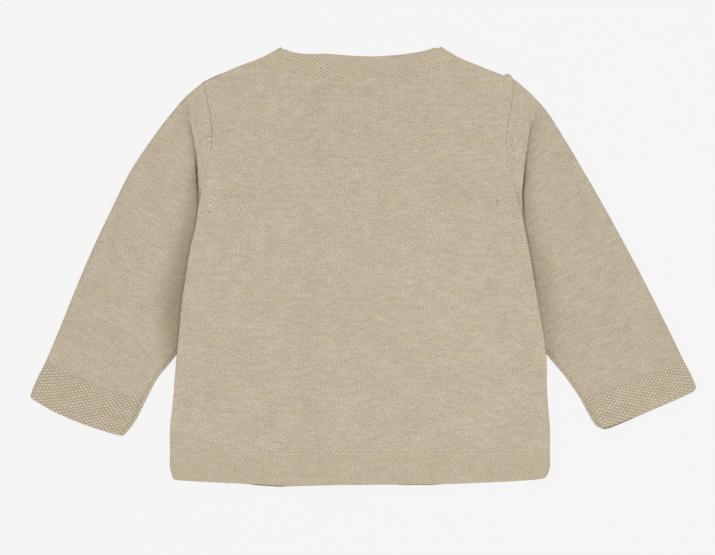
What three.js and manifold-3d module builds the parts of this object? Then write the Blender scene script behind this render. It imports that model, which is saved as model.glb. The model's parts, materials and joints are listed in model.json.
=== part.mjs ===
// A fine-knit baby cardigan laid flat on its front, back upwards, neck towards +Y.
// Millimetres, +Z up, z = 0 is the surface that it lies on, origin at the middle of the underside.
// Left and right are the wearer's, so with the back upwards the wearer's left is at -X.
import * as THREE from "three";
import Module from "manifold-3d";
import { mergeVertices } from "three/addons/utils/BufferGeometryUtils.js";

// Thickness of the two knits and the space between pieces
const CLOTH = 1.5;
const MOSS = 1.8;
const BUTTONHOLE_BAND = 2.5;
const BUTTON_BAND = 1.6;
const SEAM_GAP = 0.3;

// Heights of the layers over the surface
const BACK_UNDER = 2.1;
const SLEEVE_TOP = 3.8;
const CUFF_TOP = 4.2;
const SLEEVE_PUFF = 0.9;
const SLEEVE_LIFT = SLEEVE_TOP + SEAM_GAP;
const OVERLAP_RISE = 2.5;
const RIDGE_RISE = 2.8;

// Distances over which the layers above climb the front bands: from their edges outwards
const OVERLAP_SLOPE = 16;
const RIDGE_SLOPE = { left: 22, right: 14, shoulder: 3 };
const RIDGE_END = { from: 120, to: 142 };

// The overlapped front bands: a strip that slants a little under the back
const PLACKET_WIDTH = 27;
const PLACKET = table(["y", "x"], [156, -8.1], [-161, -18.5]);
const BAND_FOOT_Y = -161.2;
const BAND_HEAD_Y = 102.2;
const HEM_SEAM_Y = -137.4;

// Buttons, evenly spaced down the bands
const BUTTON_RADIUS = 6.5;
const BUTTON_THICK = 1.2;
const BUTTON_FIRST_Y = 88;
const BUTTON_STEP = 56;
const BUTTON_COUNT = 5;
const BUTTON_SIDES = 14;
const HOLLOW_FLARE = 1;

// The front neck opening, over which the back sinks to the surface: down to its floor
// at the first share of its size, and level with its rim at the last
const OPENING = { x: -3, y: 162, halfWidth: 58, depth: 44, floor: 0.55, rim: 0.95 };

// Rounding of a wall's edges
const EDGE_WIDTH = 2.4;
const EDGE_DROP = 0.7;

// Colours of the knit and of the buttons
const KNIT_COLOUR = 0xbeb29c;
const MOSS_COLOUR = 0xbaae98;
const BUTTON_COLOUR = 0xcbbfa6;

// Body outline, from the hem seam up to the underarm
const SIDE_LEFT = table(
  ["x", "y"],
  [-142.8, HEM_SEAM_Y], [-142.8, -120.8], [-141.3, -106], [-139.9, -91.2], [-137.6, -63.1],
  [-133.9, -24.6], [-131.7, -9.8], [-128, 13.1], [-123.6, 30.9],
);
const SIDE_RIGHT = table(
  ["x", "y"],
  [138.4, HEM_SEAM_Y], [138.4, -120.8], [137.3, -106], [136.2, -91.2], [135.4, -63.1],
  [131, -35.7], [126.5, -9.1], [122.8, 13.1], [119.1, 30.9],
);

// Armhole seams, from the underarm up to the shoulder tip
const ARMHOLE_LEFT = table(
  ["x", "y"],
  [-123.6, 30.9], [-120.6, 49.4], [-116.2, 71.6], [-111.7, 93.8], [-114, 116], [-118.4, 136.7],
);
const ARMHOLE_RIGHT = table(
  ["x", "y"],
  [119.1, 30.9], [115.4, 45.7], [108, 75.3], [106.2, 91.6], [107.3, 105.6], [109.5, 116.7],
  [112.5, 137.6],
);

// Shoulder edges, from the shoulder tip in to the neckband
const SHOULDER_LEFT = table(["x", "y"], [-118.4, 136.7], [-110.3, 141.2], [-89.5, 150], [-72.8, 155.2]);
const SHOULDER_RIGHT = table(["x", "y"], [112.5, 137.6], [97.7, 144.1], [82.9, 150], [69, 155.2]);

// The end of the armhole seam, which stands up beside the right shoulder tip
const SEAM_END = { x: 108.3, half: 4, height: 3.3 };

// Neckband: its seam and its free edge, across the back and down each front
const NECK_SEAM_BACK = table(
  ["x", "y"],
  [-72.8, 155.2], [-63.9, 147.8], [-54.8, 144.1], [-38.5, 141.2], [-4.4, 140.2], [27.4, 141.2],
  [37, 143.4], [55.9, 147.8], [65.1, 152.3], [69, 155.2],
);
const NECK_EDGE_BACK = table(
  ["x", "y"],
  [-60.2, 161.3], [-53.6, 159.3], [-28.9, 158], [-15.8, 157.2], [3, 156.6], [18.2, 157],
  [37, 158.6], [44.4, 160.3], [50, 161.2], [56.5, 161.4],
);
const NECK_SEAM_FRONT = table(
  ["left", "right", "y"],
  [-72.8, 69, 155.2], [-64, 59, 133], [-49, 44, 113.5], [-28, 24, 104], [2.2, -20.8, 102.5],
);
const NECK_EDGE_FRONT = table(
  ["left", "right", "y"],
  [-60.2, 56.5, 161.3], [-52, 47, 142], [-40, 35, 127], [-22, 17, 119.5], [2.2, -20.8, 118],
);

// Hem band: its lower edge under the back, from the left corner to the right one
const HEM_FOOT = table(
  ["x", "y"],
  [-140.9, -155.6], [-137.6, -157.9], [-116.9, -159.3], [-93, -160.5], [-76.2, -161.2],
  [-62, -162.1], [-53, -162.5], [-40, -162.1], [-18, -161.5], [16.3, -161.4], [35, -161.1],
  [54, -161.1], [82.9, -160.1], [111, -158.8], [131.5, -157.1], [136.4, -154.2],
);
const HEM_SIDE = table(["left", "right", "y"], [-142.8, 138.4, HEM_SEAM_Y], [-142.8, 138.4, -148]);

// Where each front hem shows a little below the back's
const HEM_DIP = {
  left: { x: -70, half: 13, depth: 0.9 },
  right: { x: 41, half: 15, depth: 0.6 },
  soft: 6,
};

// Sleeves: the outer edge from shoulder to cuff seam, and the underarm edge,
// whose first half is tucked under the body
const SLEEVE_OUTER_LEFT = table(
  ["x", "y"],
  [-118.4, 136.7], [-131.7, 126.4], [-152.4, 101.2], [-171.7, 71.6], [-186.5, 42],
  [-200.5, 12.4], [-213.1, -17.2], [-225, -46.8], [-234.6, -69.6],
);
const SLEEVE_OUTER_RIGHT = table(
  ["x", "y"],
  [112.5, 137.6], [125.8, 126.4], [145, 101.2], [162.8, 71.6], [179.8, 42],
  [196.1, 12.4], [211.6, -17.2], [226.4, -46.8], [236.8, -68.3],
);
const SLEEVE_INNER_LEFT = table(
  ["x", "y"],
  [-123.6, 30.9], [-124.4, 20], [-121.6, 5], [-117.4, -10], [-117, -24], [-121.4, -40],
  [-137.6, -64.6], [-151.7, -82.3], [-160.4, -98.2],
);
const SLEEVE_INNER_RIGHT = table(
  ["x", "y"],
  [119.1, 30.9], [119.9, 20], [117, 5], [112.6, -10], [112.2, -24], [116.6, -40],
  [136.2, -65.3], [148.7, -80.1], [160.2, -96.4],
);
const CUFF_SEAM_LEFT = table(
  ["x", "y"],
  [-234.6, -69.6], [-216.1, -80.1], [-197.6, -87.9], [-179.1, -94.2], [-160.4, -98.2],
);
const CUFF_SEAM_RIGHT = table(
  ["x", "y"],
  [236.8, -68.3], [212.8, -79.4], [196.1, -86.2], [178, -92.6], [160.2, -96.4],
);
const CUFF_FOOT_LEFT = table(
  ["x", "y"],
  [-245, -96.2], [-243.1, -98.9], [-227.2, -108.1], [-205.7, -117], [-189.4, -122.4],
  [-179.5, -125], [-176.3, -124.2],
);
const CUFF_FOOT_RIGHT = table(
  ["x", "y"],
  [246.1, -91.2], [243.8, -93], [232, -98.4], [216.8, -104.9], [191.7, -115.7],
  [179.5, -120.1], [172.8, -117.9],
);

// A cuff's two side edges, between the ends of its seam and the ends of its foot
const CUFF_OUTER = table(["left", "leftY", "right", "rightY"], [-243.6, -89.2, 244.2, -84.6]);
const CUFF_INNER = table(["left", "leftY", "right", "rightY"], [-168, -113.4, 168.9, -112.4]);

// Crease where each sleeve starts to turn under the body
const CREASE = table(
  ["y", "left", "right"],
  [116, -128.8, 128.8], [104, -127, 123.6], [86, -123.6, 121], [72, -122.4, 119.1],
  [55, -121.4, 117.5], [40, -122.1, 118], [30.9, -123.6, 119.1],
);
const TUCK = { from: 62, to: 112, spread: 32, clear: 2 };

// The step at the crease, and the body of yarn and air that fills a sleeve's outer half
const FOLD = { foot: 48, inside: -1.5, outside: 3.5 };
const PUFF = { outer: 14, innerFrom: 30, innerTo: 52, headFrom: 60, headTo: 125 };

// Grid counts
const ROWS = { side: 14, armhole: 8 };
const COLUMNS = { shoulder: 5, neck: 14, frontShoulder: 4, frontNeck: 7 };
const SLEEVE_STEPS = 14;
const SLEEVE_ACROSS = ROWS.armhole;
const CUFF_STEPS = 3;
const NECK_STEPS = { front: 11, fold: 4, back: COLUMNS.neck };

const wasm = await Module();
wasm.setup();

// Rows of numbers as objects with named columns.
function table(columns, ...rows) {
  return rows.map((row) => Object.fromEntries(columns.map((name, i) => [name, row[i]])));
}

// 0 below a, 1 above b, and a soft step between.
function soft(a, b, t) {
  const s = Math.min(1, Math.max(0, (t - a) / (b - a)));
  return s * s * (3 - 2 * s);
}

// A table's column at a height y, with straight lines between its rows.
function columnAt(rows, y, column = "x") {
  const sorted = [...rows].sort((a, b) => a.y - b.y);
  const next = sorted.findIndex((row) => row.y > y);
  if (next === 0) return sorted[0][column];
  if (next < 0) return sorted.at(-1)[column];
  const [a, b] = [sorted[next - 1], sorted[next]];
  return THREE.MathUtils.lerp(a[column], b[column], (y - a.y) / (b.y - a.y));
}

// A smooth plan curve through a table's rows; an edge is a function of 0 to 1 along it.
function edge(rows, column = "x") {
  const points = rows.map((row) => new THREE.Vector2(row[column], row.y));
  const curve = new THREE.SplineCurve(points);
  return (t) => curve.getPointAt(Math.min(1, Math.max(0, t)));
}

// Two edges end to end, the first over the given share of the way.
function joined(first, share, second) {
  return (t) => (t < share ? first(t / share) : second((t - share) / (1 - share)));
}

const reversed = (way) => (t) => way(1 - t);
const stretch = (way, a, b) => (t) => way(a + (b - a) * t);
const moved = (way, x, y) => (t) => way(t).clone().add(new THREE.Vector2(x, y));

// A plan surface stretched between four edges: foot and head run the same way, and so do the sides.
function patch(foot, head, left, right) {
  const [p00, p10, p01, p11] = [foot(0), foot(1), head(0), head(1)];
  return (u, v) => {
    const p = new THREE.Vector2()
      .addScaledVector(foot(u), 1 - v)
      .addScaledVector(head(u), v)
      .addScaledVector(left(v), 1 - u)
      .addScaledVector(right(v), u);
    return p
      .addScaledVector(p00, -(1 - u) * (1 - v))
      .addScaledVector(p10, -u * (1 - v))
      .addScaledVector(p01, -(1 - u) * v)
      .addScaledVector(p11, -u * v);
  };
}

// Even steps of 0 to 1 with one narrow step at each end, for the rounded edge.
// The first and the last few steps may be halved, where a wall climbs over a sleeve.
function steps(count, length, halved = { first: 0, last: 0 }) {
  const narrow = EDGE_WIDTH / length;
  const even = Array.from({ length: count - 1 }, (_, i) => (i + 1) / count);
  const first = Array.from({ length: halved.first }, (_, i) => (i + 0.5) / count);
  const last = Array.from({ length: halved.last }, (_, i) => 1 - (i + 0.5) / count);
  return [0, narrow, ...even, ...first, ...last, 1 - narrow, 1].sort((a, b) => a - b);
}

// A closed mesh from its points and its four-sided faces.
function closedMesh(points, quads) {
  const triangles = quads.flatMap(([a, b, c, d]) => [a, b, c, a, c, d]);
  const geometry = new THREE.BufferGeometry();
  geometry.setAttribute("position", new THREE.Float32BufferAttribute(points.flat(), 3));
  geometry.setIndex(triangles);
  return geometry;
}

// A cloth wall over a plan patch, between the heights under(x, y) and over(x, y).
function wall(plan, across, along, under, over, { halved, closing = 0 } = {}) {
  const width = plan(0, 0.5).distanceTo(plan(1, 0.5));
  const length = plan(0.5, 0).distanceTo(plan(0.5, 1));
  const us = steps(across, width, halved);
  const vs = steps(along, length);
  const count = us.length * vs.length;
  const lower = [];
  const upper = [];
  for (const v of vs) {
    for (const u of us) {
      const { x, y } = plan(u, v);
      const inside = Math.min(u * width, (1 - u) * width, v * length, (1 - v) * length);
      const rim = Math.max(0, 1 - inside / EDGE_WIDTH);
      lower.push([x, y, Math.max(0, under(x, y) - closing * rim)]);
      upper.push([x, y, over(x, y) - EDGE_DROP * rim]);
    }
  }
  const at = (i, j) => j * us.length + i;
  const quads = [];
  for (let j = 0; j < vs.length - 1; j++) {
    for (let i = 0; i < us.length - 1; i++) {
      const ring = [at(i, j), at(i + 1, j), at(i + 1, j + 1), at(i, j + 1)];
      quads.push(ring.map((k) => k + count), [...ring].reverse());
    }
  }
  const rim = [
    ...us.slice(0, -1).map((_, i) => at(i, 0)),
    ...vs.slice(0, -1).map((_, j) => at(us.length - 1, j)),
    ...us.slice(0, -1).map((_, i) => at(us.length - 1 - i, vs.length - 1)),
    ...vs.slice(0, -1).map((_, j) => at(0, vs.length - 1 - j)),
  ];
  rim.forEach((a, k) => {
    const b = rim[(k + 1) % rim.length];
    quads.push([a, b, b + count, a + count]);
  });
  return closedMesh([...lower, ...upper], quads);
}

// How far each ring of a flattened tube's rounded edge lies in, outside and inside the wall.
const TUBE_EDGE = table(["outside", "inside", "height"], [0, 0, 0], [0.8, 0.3, 0.7], [2.6, 1.1, 1]);

// One loop round a flattened tube at the share v of its length: over the top and back underneath.
function tubeLoop(plan, v, across, thick, top) {
  const width = plan(0, v).distanceTo(plan(1, v));
  const edges = TUBE_EDGE.map((row) => ({
    d: (thick ? thick + row.inside : row.outside) / width,
    height: row.height,
  }));
  const middle = Array.from({ length: across - 1 }, (_, i) => ({ d: (i + 1) / across, height: 1 }));
  const samples = [
    ...edges,
    ...middle,
    ...[...edges].reverse().map(({ d, height }) => ({ d: 1 - d, height })),
  ];
  const point = ({ d, height }, upper) => {
    const { x, y } = plan(d, v);
    const full = top(x, y, d * width, (1 - d) * width);
    const half = full / 2;
    const z = upper ? half + (half - thick) * height : half - (half - thick) * height;
    return [x, y, z];
  };
  const over = samples.map((sample) => point(sample, true));
  const under = samples.slice(1, -1).reverse().map((sample) => point(sample, false));
  return [...over, ...under];
}

// A flattened tube of cloth, open at both ends.
function tube(plan, across, along, thick, top) {
  const loops = [0, thick].map((depth) =>
    Array.from({ length: along + 1 }, (_, j) => tubeLoop(plan, j / along, across, depth, top)),
  );
  const round = loops[0][0].length;
  const points = loops.flat(2);
  const at = (layer, j, k) => (layer * (along + 1) + j) * round + (k % round);
  const quads = [];
  for (let k = 0; k < round; k++) {
    for (let j = 0; j < along; j++) {
      quads.push([at(0, j, k), at(0, j + 1, k), at(0, j + 1, k + 1), at(0, j, k + 1)]);
      quads.push([at(1, j, k), at(1, j, k + 1), at(1, j + 1, k + 1), at(1, j + 1, k)]);
    }
    quads.push([at(0, 0, k + 1), at(1, 0, k + 1), at(1, 0, k), at(0, 0, k)]);
    quads.push([at(0, along, k), at(1, along, k), at(1, along, k + 1), at(0, along, k + 1)]);
  }
  return closedMesh(points, quads);
}

// A strip of cloth through sections, each with its free edge, its seam edge and the way its face looks.
function strip(sections, thick) {
  const points = sections.flatMap(({ free, seam, face }) => {
    const half = face.clone().multiplyScalar(thick / 2);
    const middle = free.clone().lerp(seam, 0.5);
    const outer = [free, middle, seam].map((p) => p.clone().add(half).toArray());
    const inner = [seam, middle, free].map((p) => p.clone().sub(half).toArray());
    return [...outer, ...inner];
  });
  const round = 6;
  const quads = [];
  for (let j = 0; j < sections.length - 1; j++) {
    for (let k = 0; k < round; k++) {
      const [a, b] = [j * round + k, j * round + ((k + 1) % round)];
      quads.push([a, b, b + round, a + round]);
    }
  }
  const last = (sections.length - 1) * round;
  quads.push([5, 4, 1, 0], [4, 3, 2, 1]);
  quads.push([last, last + 1, last + 4, last + 5], [last + 1, last + 2, last + 3, last + 4]);
  return closedMesh(points, quads);
}

// Heights
const placketLeft = (y) => columnAt(PLACKET, y) - PLACKET_WIDTH / 2;
const placketRight = (y) => columnAt(PLACKET, y) + PLACKET_WIDTH / 2;

// Lift of the body over the tucked part of a sleeve.
function tuckLift(x, y) {
  const left = x < columnAt(PLACKET, y);
  const inner = left ? [...ARMHOLE_LEFT, ...SLEEVE_INNER_LEFT] : [...ARMHOLE_RIGHT, ...SLEEVE_INNER_RIGHT];
  const inwards = (x - columnAt(inner, y)) * (left ? 1 : -1);
  const near = 1 - soft(TUCK.clear, TUCK.clear + TUCK.spread, inwards);
  return SLEEVE_LIFT * near * (1 - soft(TUCK.from, TUCK.to, y));
}

// Rise of the left front, whose band lies on top of the other one.
function overlapRise(x, y) {
  return OVERLAP_RISE * soft(placketLeft(y) - OVERLAP_SLOPE, placketLeft(y), x);
}

// Ridge that the two bands raise under the back: long on the left, short on the right.
function ridge(x, y) {
  const left = soft(placketLeft(y) - RIDGE_SLOPE.left, placketLeft(y) - 1, x);
  const right = 1 - soft(placketRight(y) + RIDGE_SLOPE.shoulder, placketRight(y) + RIDGE_SLOPE.right, x);
  return RIDGE_RISE * left * right * (1 - soft(RIDGE_END.from, RIDGE_END.to, y));
}

// Share by which the back sinks through the front neck opening.
function sink(x, y) {
  const out = Math.hypot((x - OPENING.x) / OPENING.halfWidth, (y - OPENING.y) / OPENING.depth);
  return 1 - soft(OPENING.floor, OPENING.rim, out);
}

const backUnder = (x, y) => BACK_UNDER * (1 - sink(x, y)) + ridge(x, y) + tuckLift(x, y);
const leftUnder = (x, y) => overlapRise(x, y) + tuckLift(x, y);
const rightUnder = (x, y) => tuckLift(x, y);
const raised = (under, thick) => (x, y) => under(x, y) + thick;
const level = (z) => () => z;

// Height of a sleeve's upper layer: full along the middle, and high between armhole and crease.
function sleeveTop(side) {
  return (x, y, fromOuter, fromInner) => {
    const outwards = (columnAt(CREASE, y, side) - x) * (side === "left" ? 1 : -1);
    const strip = soft(FOLD.foot, TUCK.from, y) * (1 - soft(FOLD.inside, FOLD.outside, outwards));
    const fold = (1 - soft(TUCK.from, TUCK.to, y)) * strip;
    const across = soft(0, PUFF.outer, fromOuter) * soft(PUFF.innerFrom, PUFF.innerTo, fromInner);
    const puff = across * (1 - soft(PUFF.headFrom, PUFF.headTo, y));
    return SLEEVE_TOP + SLEEVE_LIFT * fold + SLEEVE_PUFF * puff;
  };
}

// Materials
function cloth(name, colour) {
  return new THREE.MeshStandardMaterial({ name, color: colour, roughness: 0.95, metalness: 0 });
}
const plainKnit = cloth("plain_knit", KNIT_COLOUR);
const mossKnit = cloth("moss_knit", MOSS_COLOUR);
const buttonStuff = new THREE.MeshStandardMaterial({
  name: "button",
  color: BUTTON_COLOUR,
  roughness: 0.35,
  metalness: 0,
});

const cardigan = new THREE.Group();

function add(name, geometry, material) {
  const mesh = new THREE.Mesh(geometry, material);
  mesh.name = name;
  cardigan.add(mesh);
  return mesh;
}

// Shares of the body's edges that are side seam and shoulder
const SIDE_SHARE = ROWS.side / (ROWS.side + ROWS.armhole);
const BODY_ROWS = ROWS.side + ROWS.armhole;
const BACK_COLUMNS = 2 * COLUMNS.shoulder + COLUMNS.neck;
const FRONT_COLUMNS = COLUMNS.frontShoulder + COLUMNS.frontNeck;
const SHOULDER_SHARE = COLUMNS.shoulder / BACK_COLUMNS;

const bodyLeft = joined(edge(SIDE_LEFT), SIDE_SHARE, edge(ARMHOLE_LEFT));
const bodyRight = joined(edge(SIDE_RIGHT), SIDE_SHARE, edge(ARMHOLE_RIGHT));
const hemSeam = edge([SIDE_LEFT[0], SIDE_RIGHT[0]]);

function straight(x0, y0, x1, y1) {
  const [a, b] = [new THREE.Vector2(x0, y0), new THREE.Vector2(x1, y1)];
  return (t) => a.clone().lerp(b, t);
}

// The right shoulder edge with the small hump at its tip.
function seamEnd(way) {
  return (t) => {
    const p = way(t).clone();
    const off = (p.x - SEAM_END.x) / SEAM_END.half;
    p.y += SEAM_END.height * Math.max(0, 1 - off * off) ** 2;
    return p;
  };
}

function addBack() {
  const neckShare = COLUMNS.neck / (COLUMNS.neck + COLUMNS.shoulder);
  const rest = joined(edge(NECK_SEAM_BACK), neckShare, reversed(seamEnd(edge(SHOULDER_RIGHT))));
  const head = joined(edge(SHOULDER_LEFT), SHOULDER_SHARE, rest);
  const plan = patch(hemSeam, head, bodyLeft, bodyRight);
  const options = { halved: { first: 2, last: 2 }, closing: SEAM_GAP / 2 };
  const geometry = wall(plan, BACK_COLUMNS, BODY_ROWS, backUnder, raised(backUnder, CLOTH), options);
  add("back", geometry, plainKnit);
}

// The share of an edge at which it reaches x, found by halving.
function shareAt(way, x) {
  const rising = way(1).x > way(0).x;
  let [low, high] = [0, 1];
  for (let i = 0; i < 30; i++) {
    const middle = (low + high) / 2;
    if (way(middle).x < x === rising) low = middle;
    else high = middle;
  }
  return low;
}

// The front neck seam from the shoulder as far as this front's own band seam.
function frontNeck(side, stopX) {
  const out = side === "left" ? -2 * SEAM_GAP : 2 * SEAM_GAP;
  const seam = moved(edge(NECK_SEAM_FRONT, side), out, -2 * SEAM_GAP);
  return stretch(seam, 0, shareAt(seam, stopX));
}

function addFront(side) {
  const left = side === "left";
  const bandX = left ? placketLeft : placketRight;
  const gap = left ? -SEAM_GAP : SEAM_GAP;
  const neck = frontNeck(side, bandX(BAND_HEAD_Y) + gap);
  const rows = left ? SHOULDER_LEFT : SHOULDER_RIGHT;
  const shoulder = edge([...rows.slice(0, -1), neck(0)]);
  const head = joined(shoulder, COLUMNS.frontShoulder / FRONT_COLUMNS, neck);
  const outer = left ? bodyLeft : bodyRight;
  const foot = straight(outer(0).x, outer(0).y, bandX(HEM_SEAM_Y) + gap, HEM_SEAM_Y);
  const centre = straight(foot(1).x, foot(1).y, head(1).x, head(1).y);
  const plan = left
    ? patch(foot, head, outer, centre)
    : patch(reversed(foot), reversed(head), centre, outer);
  const under = left ? leftUnder : rightUnder;
  const halved = left ? { first: 2, last: 0 } : { first: 0, last: 2 };
  const geometry = wall(plan, FRONT_COLUMNS, BODY_ROWS, under, raised(under, CLOTH), { halved });
  add("front_" + side, geometry, plainKnit);
}

// The hem's side edge at one side, from its rounded corner up to the hem seam.
function hemSide(side, corner) {
  const rows = [{ x: corner.x, y: corner.y }];
  [...HEM_SIDE].reverse().forEach((row) => rows.push({ x: row[side], y: row.y }));
  rows.at(-1).y -= SEAM_GAP;
  return edge(rows);
}

function addBackHem() {
  const foot = edge(HEM_FOOT);
  const [left, right] = [hemSide("left", foot(0)), hemSide("right", foot(1))];
  const head = straight(left(1).x, left(1).y, right(1).x, right(1).y);
  const plan = patch(foot, head, left, right);
  add("back_hem", wall(plan, BACK_COLUMNS, 2, backUnder, raised(backUnder, MOSS)), mossKnit);
}

// A hem's foot, a little lower where a front hem shows.
function dipped(way, side) {
  const { x, half, depth } = HEM_DIP[side];
  return (t) => {
    const p = way(t).clone();
    p.y -= depth * (1 - soft(half - HEM_DIP.soft, half + HEM_DIP.soft, Math.abs(p.x - x)));
    return p;
  };
}

function addFrontHem(side) {
  const left = side === "left";
  const whole = edge(HEM_FOOT);
  const bandX = (y) => (left ? placketLeft(y) - 2 * SEAM_GAP : placketRight(y) + 2 * SEAM_GAP);
  const stop = shareAt(whole, bandX(BAND_FOOT_Y));
  const foot = dipped(left ? stretch(whole, 0, stop) : stretch(whole, stop, 1), side);
  const outer = hemSide(side, left ? foot(0) : foot(1));
  const corner = foot(left ? 1 : 0);
  const inner = straight(corner.x, corner.y, bandX(HEM_SEAM_Y), HEM_SEAM_Y - SEAM_GAP);
  const [near, far] = left ? [outer, inner] : [inner, outer];
  const head = straight(near(1).x, near(1).y, far(1).x, far(1).y);
  const under = left ? leftUnder : rightUnder;
  const geometry = wall(patch(foot, head, near, far), FRONT_COLUMNS, 2, under, raised(under, MOSS));
  add(`front_${side}_hem`, geometry, mossKnit);
}

function addSleeve(side) {
  const left = side === "left";
  const outer = edge(left ? SLEEVE_OUTER_LEFT : SLEEVE_OUTER_RIGHT);
  const inner = edge(left ? SLEEVE_INNER_LEFT : SLEEVE_INNER_RIGHT);
  const armhole = reversed(edge(left ? ARMHOLE_LEFT : ARMHOLE_RIGHT));
  const cuffSeam = edge(left ? CUFF_SEAM_LEFT : CUFF_SEAM_RIGHT);
  const out = left ? -SEAM_GAP : SEAM_GAP;
  const plan = patch(moved(armhole, out, 0), moved(cuffSeam, out, 0), moved(outer, out, 0), moved(inner, out, 0));
  const geometry = tube(plan, SLEEVE_ACROSS, SLEEVE_STEPS, CLOTH, sleeveTop(side));
  add("sleeve_" + side, left ? geometry : turned(geometry), plainKnit);
}

// The same geometry with its faces turned round, for a piece laid out the other way.
function turned(geometry) {
  const index = Array.from(geometry.index.array);
  for (let i = 0; i < index.length; i += 3) {
    [index[i + 1], index[i + 2]] = [index[i + 2], index[i + 1]];
  }
  geometry.setIndex(index);
  return geometry;
}

function addCuff(side) {
  const left = side === "left";
  const seam = edge(left ? CUFF_SEAM_LEFT : CUFF_SEAM_RIGHT);
  const foot = edge(left ? CUFF_FOOT_LEFT : CUFF_FOOT_RIGHT);
  const out = left ? -SEAM_GAP : SEAM_GAP;
  const top = moved(seam, out * 1.5, -SEAM_GAP);
  const [outer, inner] = [CUFF_OUTER, CUFF_INNER].map(([bend], t) => {
    const middle = new THREE.Vector2(bend[side], bend[side + "Y"]);
    return edge([top(t), middle, foot(t)]);
  });
  const geometry = tube(patch(top, foot, outer, inner), SLEEVE_ACROSS, CUFF_STEPS, MOSS, level(CUFF_TOP));
  add("cuff_" + side, left ? geometry : turned(geometry), mossKnit);
}

// Sections of the neckband down one front, from the shoulder to the front edge.
function frontNeckSections(side) {
  const [free, seam] = [edge(NECK_EDGE_FRONT, side), edge(NECK_SEAM_FRONT, side)];
  const rise = side === "left" ? overlapRise : level(0);
  return Array.from({ length: NECK_STEPS.front + 1 }, (_, i) => {
    const [a, b] = [free, seam].map((way) => way(i / NECK_STEPS.front));
    const [za, zb] = [a, b].map((p) => rise(p.x, p.y) + MOSS / 2);
    return {
      free: new THREE.Vector3(a.x, a.y, za),
      seam: new THREE.Vector3(b.x, b.y, zb),
      face: new THREE.Vector3(0, 0, -1),
    };
  });
}

// Sections round the fold at a neck point, from the front layer up to the back layer.
function foldSections(free, seam, outwards) {
  const [low, high] = [MOSS / 2, BACK_UNDER + MOSS / 2];
  const [middle, radius] = [(low + high) / 2, (high - low) / 2];
  return Array.from({ length: NECK_STEPS.fold - 1 }, (_, i) => {
    const turn = ((i + 1) / NECK_STEPS.fold) * Math.PI - Math.PI / 2;
    const face = new THREE.Vector3(
      outwards.x * Math.cos(turn),
      outwards.y * Math.cos(turn),
      Math.sin(turn),
    );
    const shift = face.clone().multiplyScalar(radius);
    return {
      free: new THREE.Vector3(free.x, free.y, middle).add(shift),
      seam: new THREE.Vector3(seam.x, seam.y, middle).add(shift),
      face,
    };
  });
}

function addNeckband() {
  const [free, seam] = [edge(NECK_EDGE_BACK), edge(NECK_SEAM_BACK)];
  const steps = NECK_STEPS.back;
  const back = Array.from({ length: steps + 1 }, (_, i) => {
    const a = free(i / steps);
    const b = moved(seam, 0, SEAM_GAP)(i / steps);
    return {
      free: new THREE.Vector3(a.x, a.y, backUnder(a.x, a.y) + MOSS / 2),
      seam: new THREE.Vector3(b.x, b.y, backUnder(b.x, b.y) + MOSS / 2),
      face: new THREE.Vector3(0, 0, 1),
    };
  });
  const [leftOut, rightOut] = [back[0], back.at(-1)].map(({ free: a, seam: b }, i) => {
    const across = new THREE.Vector2(b.x - a.x, b.y - a.y).normalize();
    return i === 0 ? new THREE.Vector2(across.y, -across.x) : new THREE.Vector2(-across.y, across.x);
  });
  const sections = [
    ...frontNeckSections("left").reverse(),
    ...foldSections(back[0].free, back[0].seam, leftOut),
    ...back,
    ...foldSections(back.at(-1).free, back.at(-1).seam, rightOut).reverse(),
    ...frontNeckSections("right"),
  ];
  add("neckband", strip(sections, MOSS), mossKnit);
}

// A geometry as a solid for joining and cutting.
function solidOf(geometry) {
  const bare = geometry.clone();
  bare.deleteAttribute("normal");
  bare.deleteAttribute("uv");
  const merged = mergeVertices(bare, 1e-4);
  return new wasm.Manifold(
    new wasm.Mesh({
      numProp: 3,
      vertProperties: new Float32Array(merged.attributes.position.array),
      triVerts: new Uint32Array(merged.index.array),
    }),
  );
}

function geometryOf(solid) {
  const mesh = solid.getMesh();
  const geometry = new THREE.BufferGeometry();
  geometry.setAttribute("position", new THREE.BufferAttribute(mesh.vertProperties, 3));
  geometry.setIndex(new THREE.BufferAttribute(mesh.triVerts, 1));
  return geometry;
}

const buttonPlaces = Array.from({ length: BUTTON_COUNT }, (_, i) => {
  const y = BUTTON_FIRST_Y - i * BUTTON_STEP;
  return { x: columnAt(PLACKET, y), y };
});

function bandPlan() {
  const [foot, head] = [BAND_FOOT_Y, BAND_HEAD_Y];
  return patch(
    straight(placketLeft(foot), foot, placketRight(foot), foot),
    straight(placketLeft(head), head, placketRight(head), head),
    straight(placketLeft(foot), foot, placketLeft(head), head),
    straight(placketRight(foot), foot, placketRight(head), head),
  );
}

// The outer band lies on the surface, hollowed on its face for the buttons pressed into it.
function addButtonholeBand() {
  let band = solidOf(wall(bandPlan(), 2, 12, level(0), level(BUTTONHOLE_BAND)));
  const deep = BUTTON_THICK + SEAM_GAP;
  for (const { x, y } of buttonPlaces) {
    const [wide, narrow] = [BUTTON_RADIUS + HOLLOW_FLARE, BUTTON_RADIUS + SEAM_GAP];
    const hollow = new THREE.CylinderGeometry(wide, narrow, 2 * deep, BUTTON_SIDES);
    hollow.rotateX(-Math.PI / 2).translate(x, y, 0);
    band = band.subtract(solidOf(hollow));
  }
  add("buttonhole_band", geometryOf(band), mossKnit);
}

function addButtonBand() {
  const foot = BUTTONHOLE_BAND + SEAM_GAP;
  add("button_band", wall(bandPlan(), 2, 12, level(foot), level(foot + BUTTON_BAND)), mossKnit);
}

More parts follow.
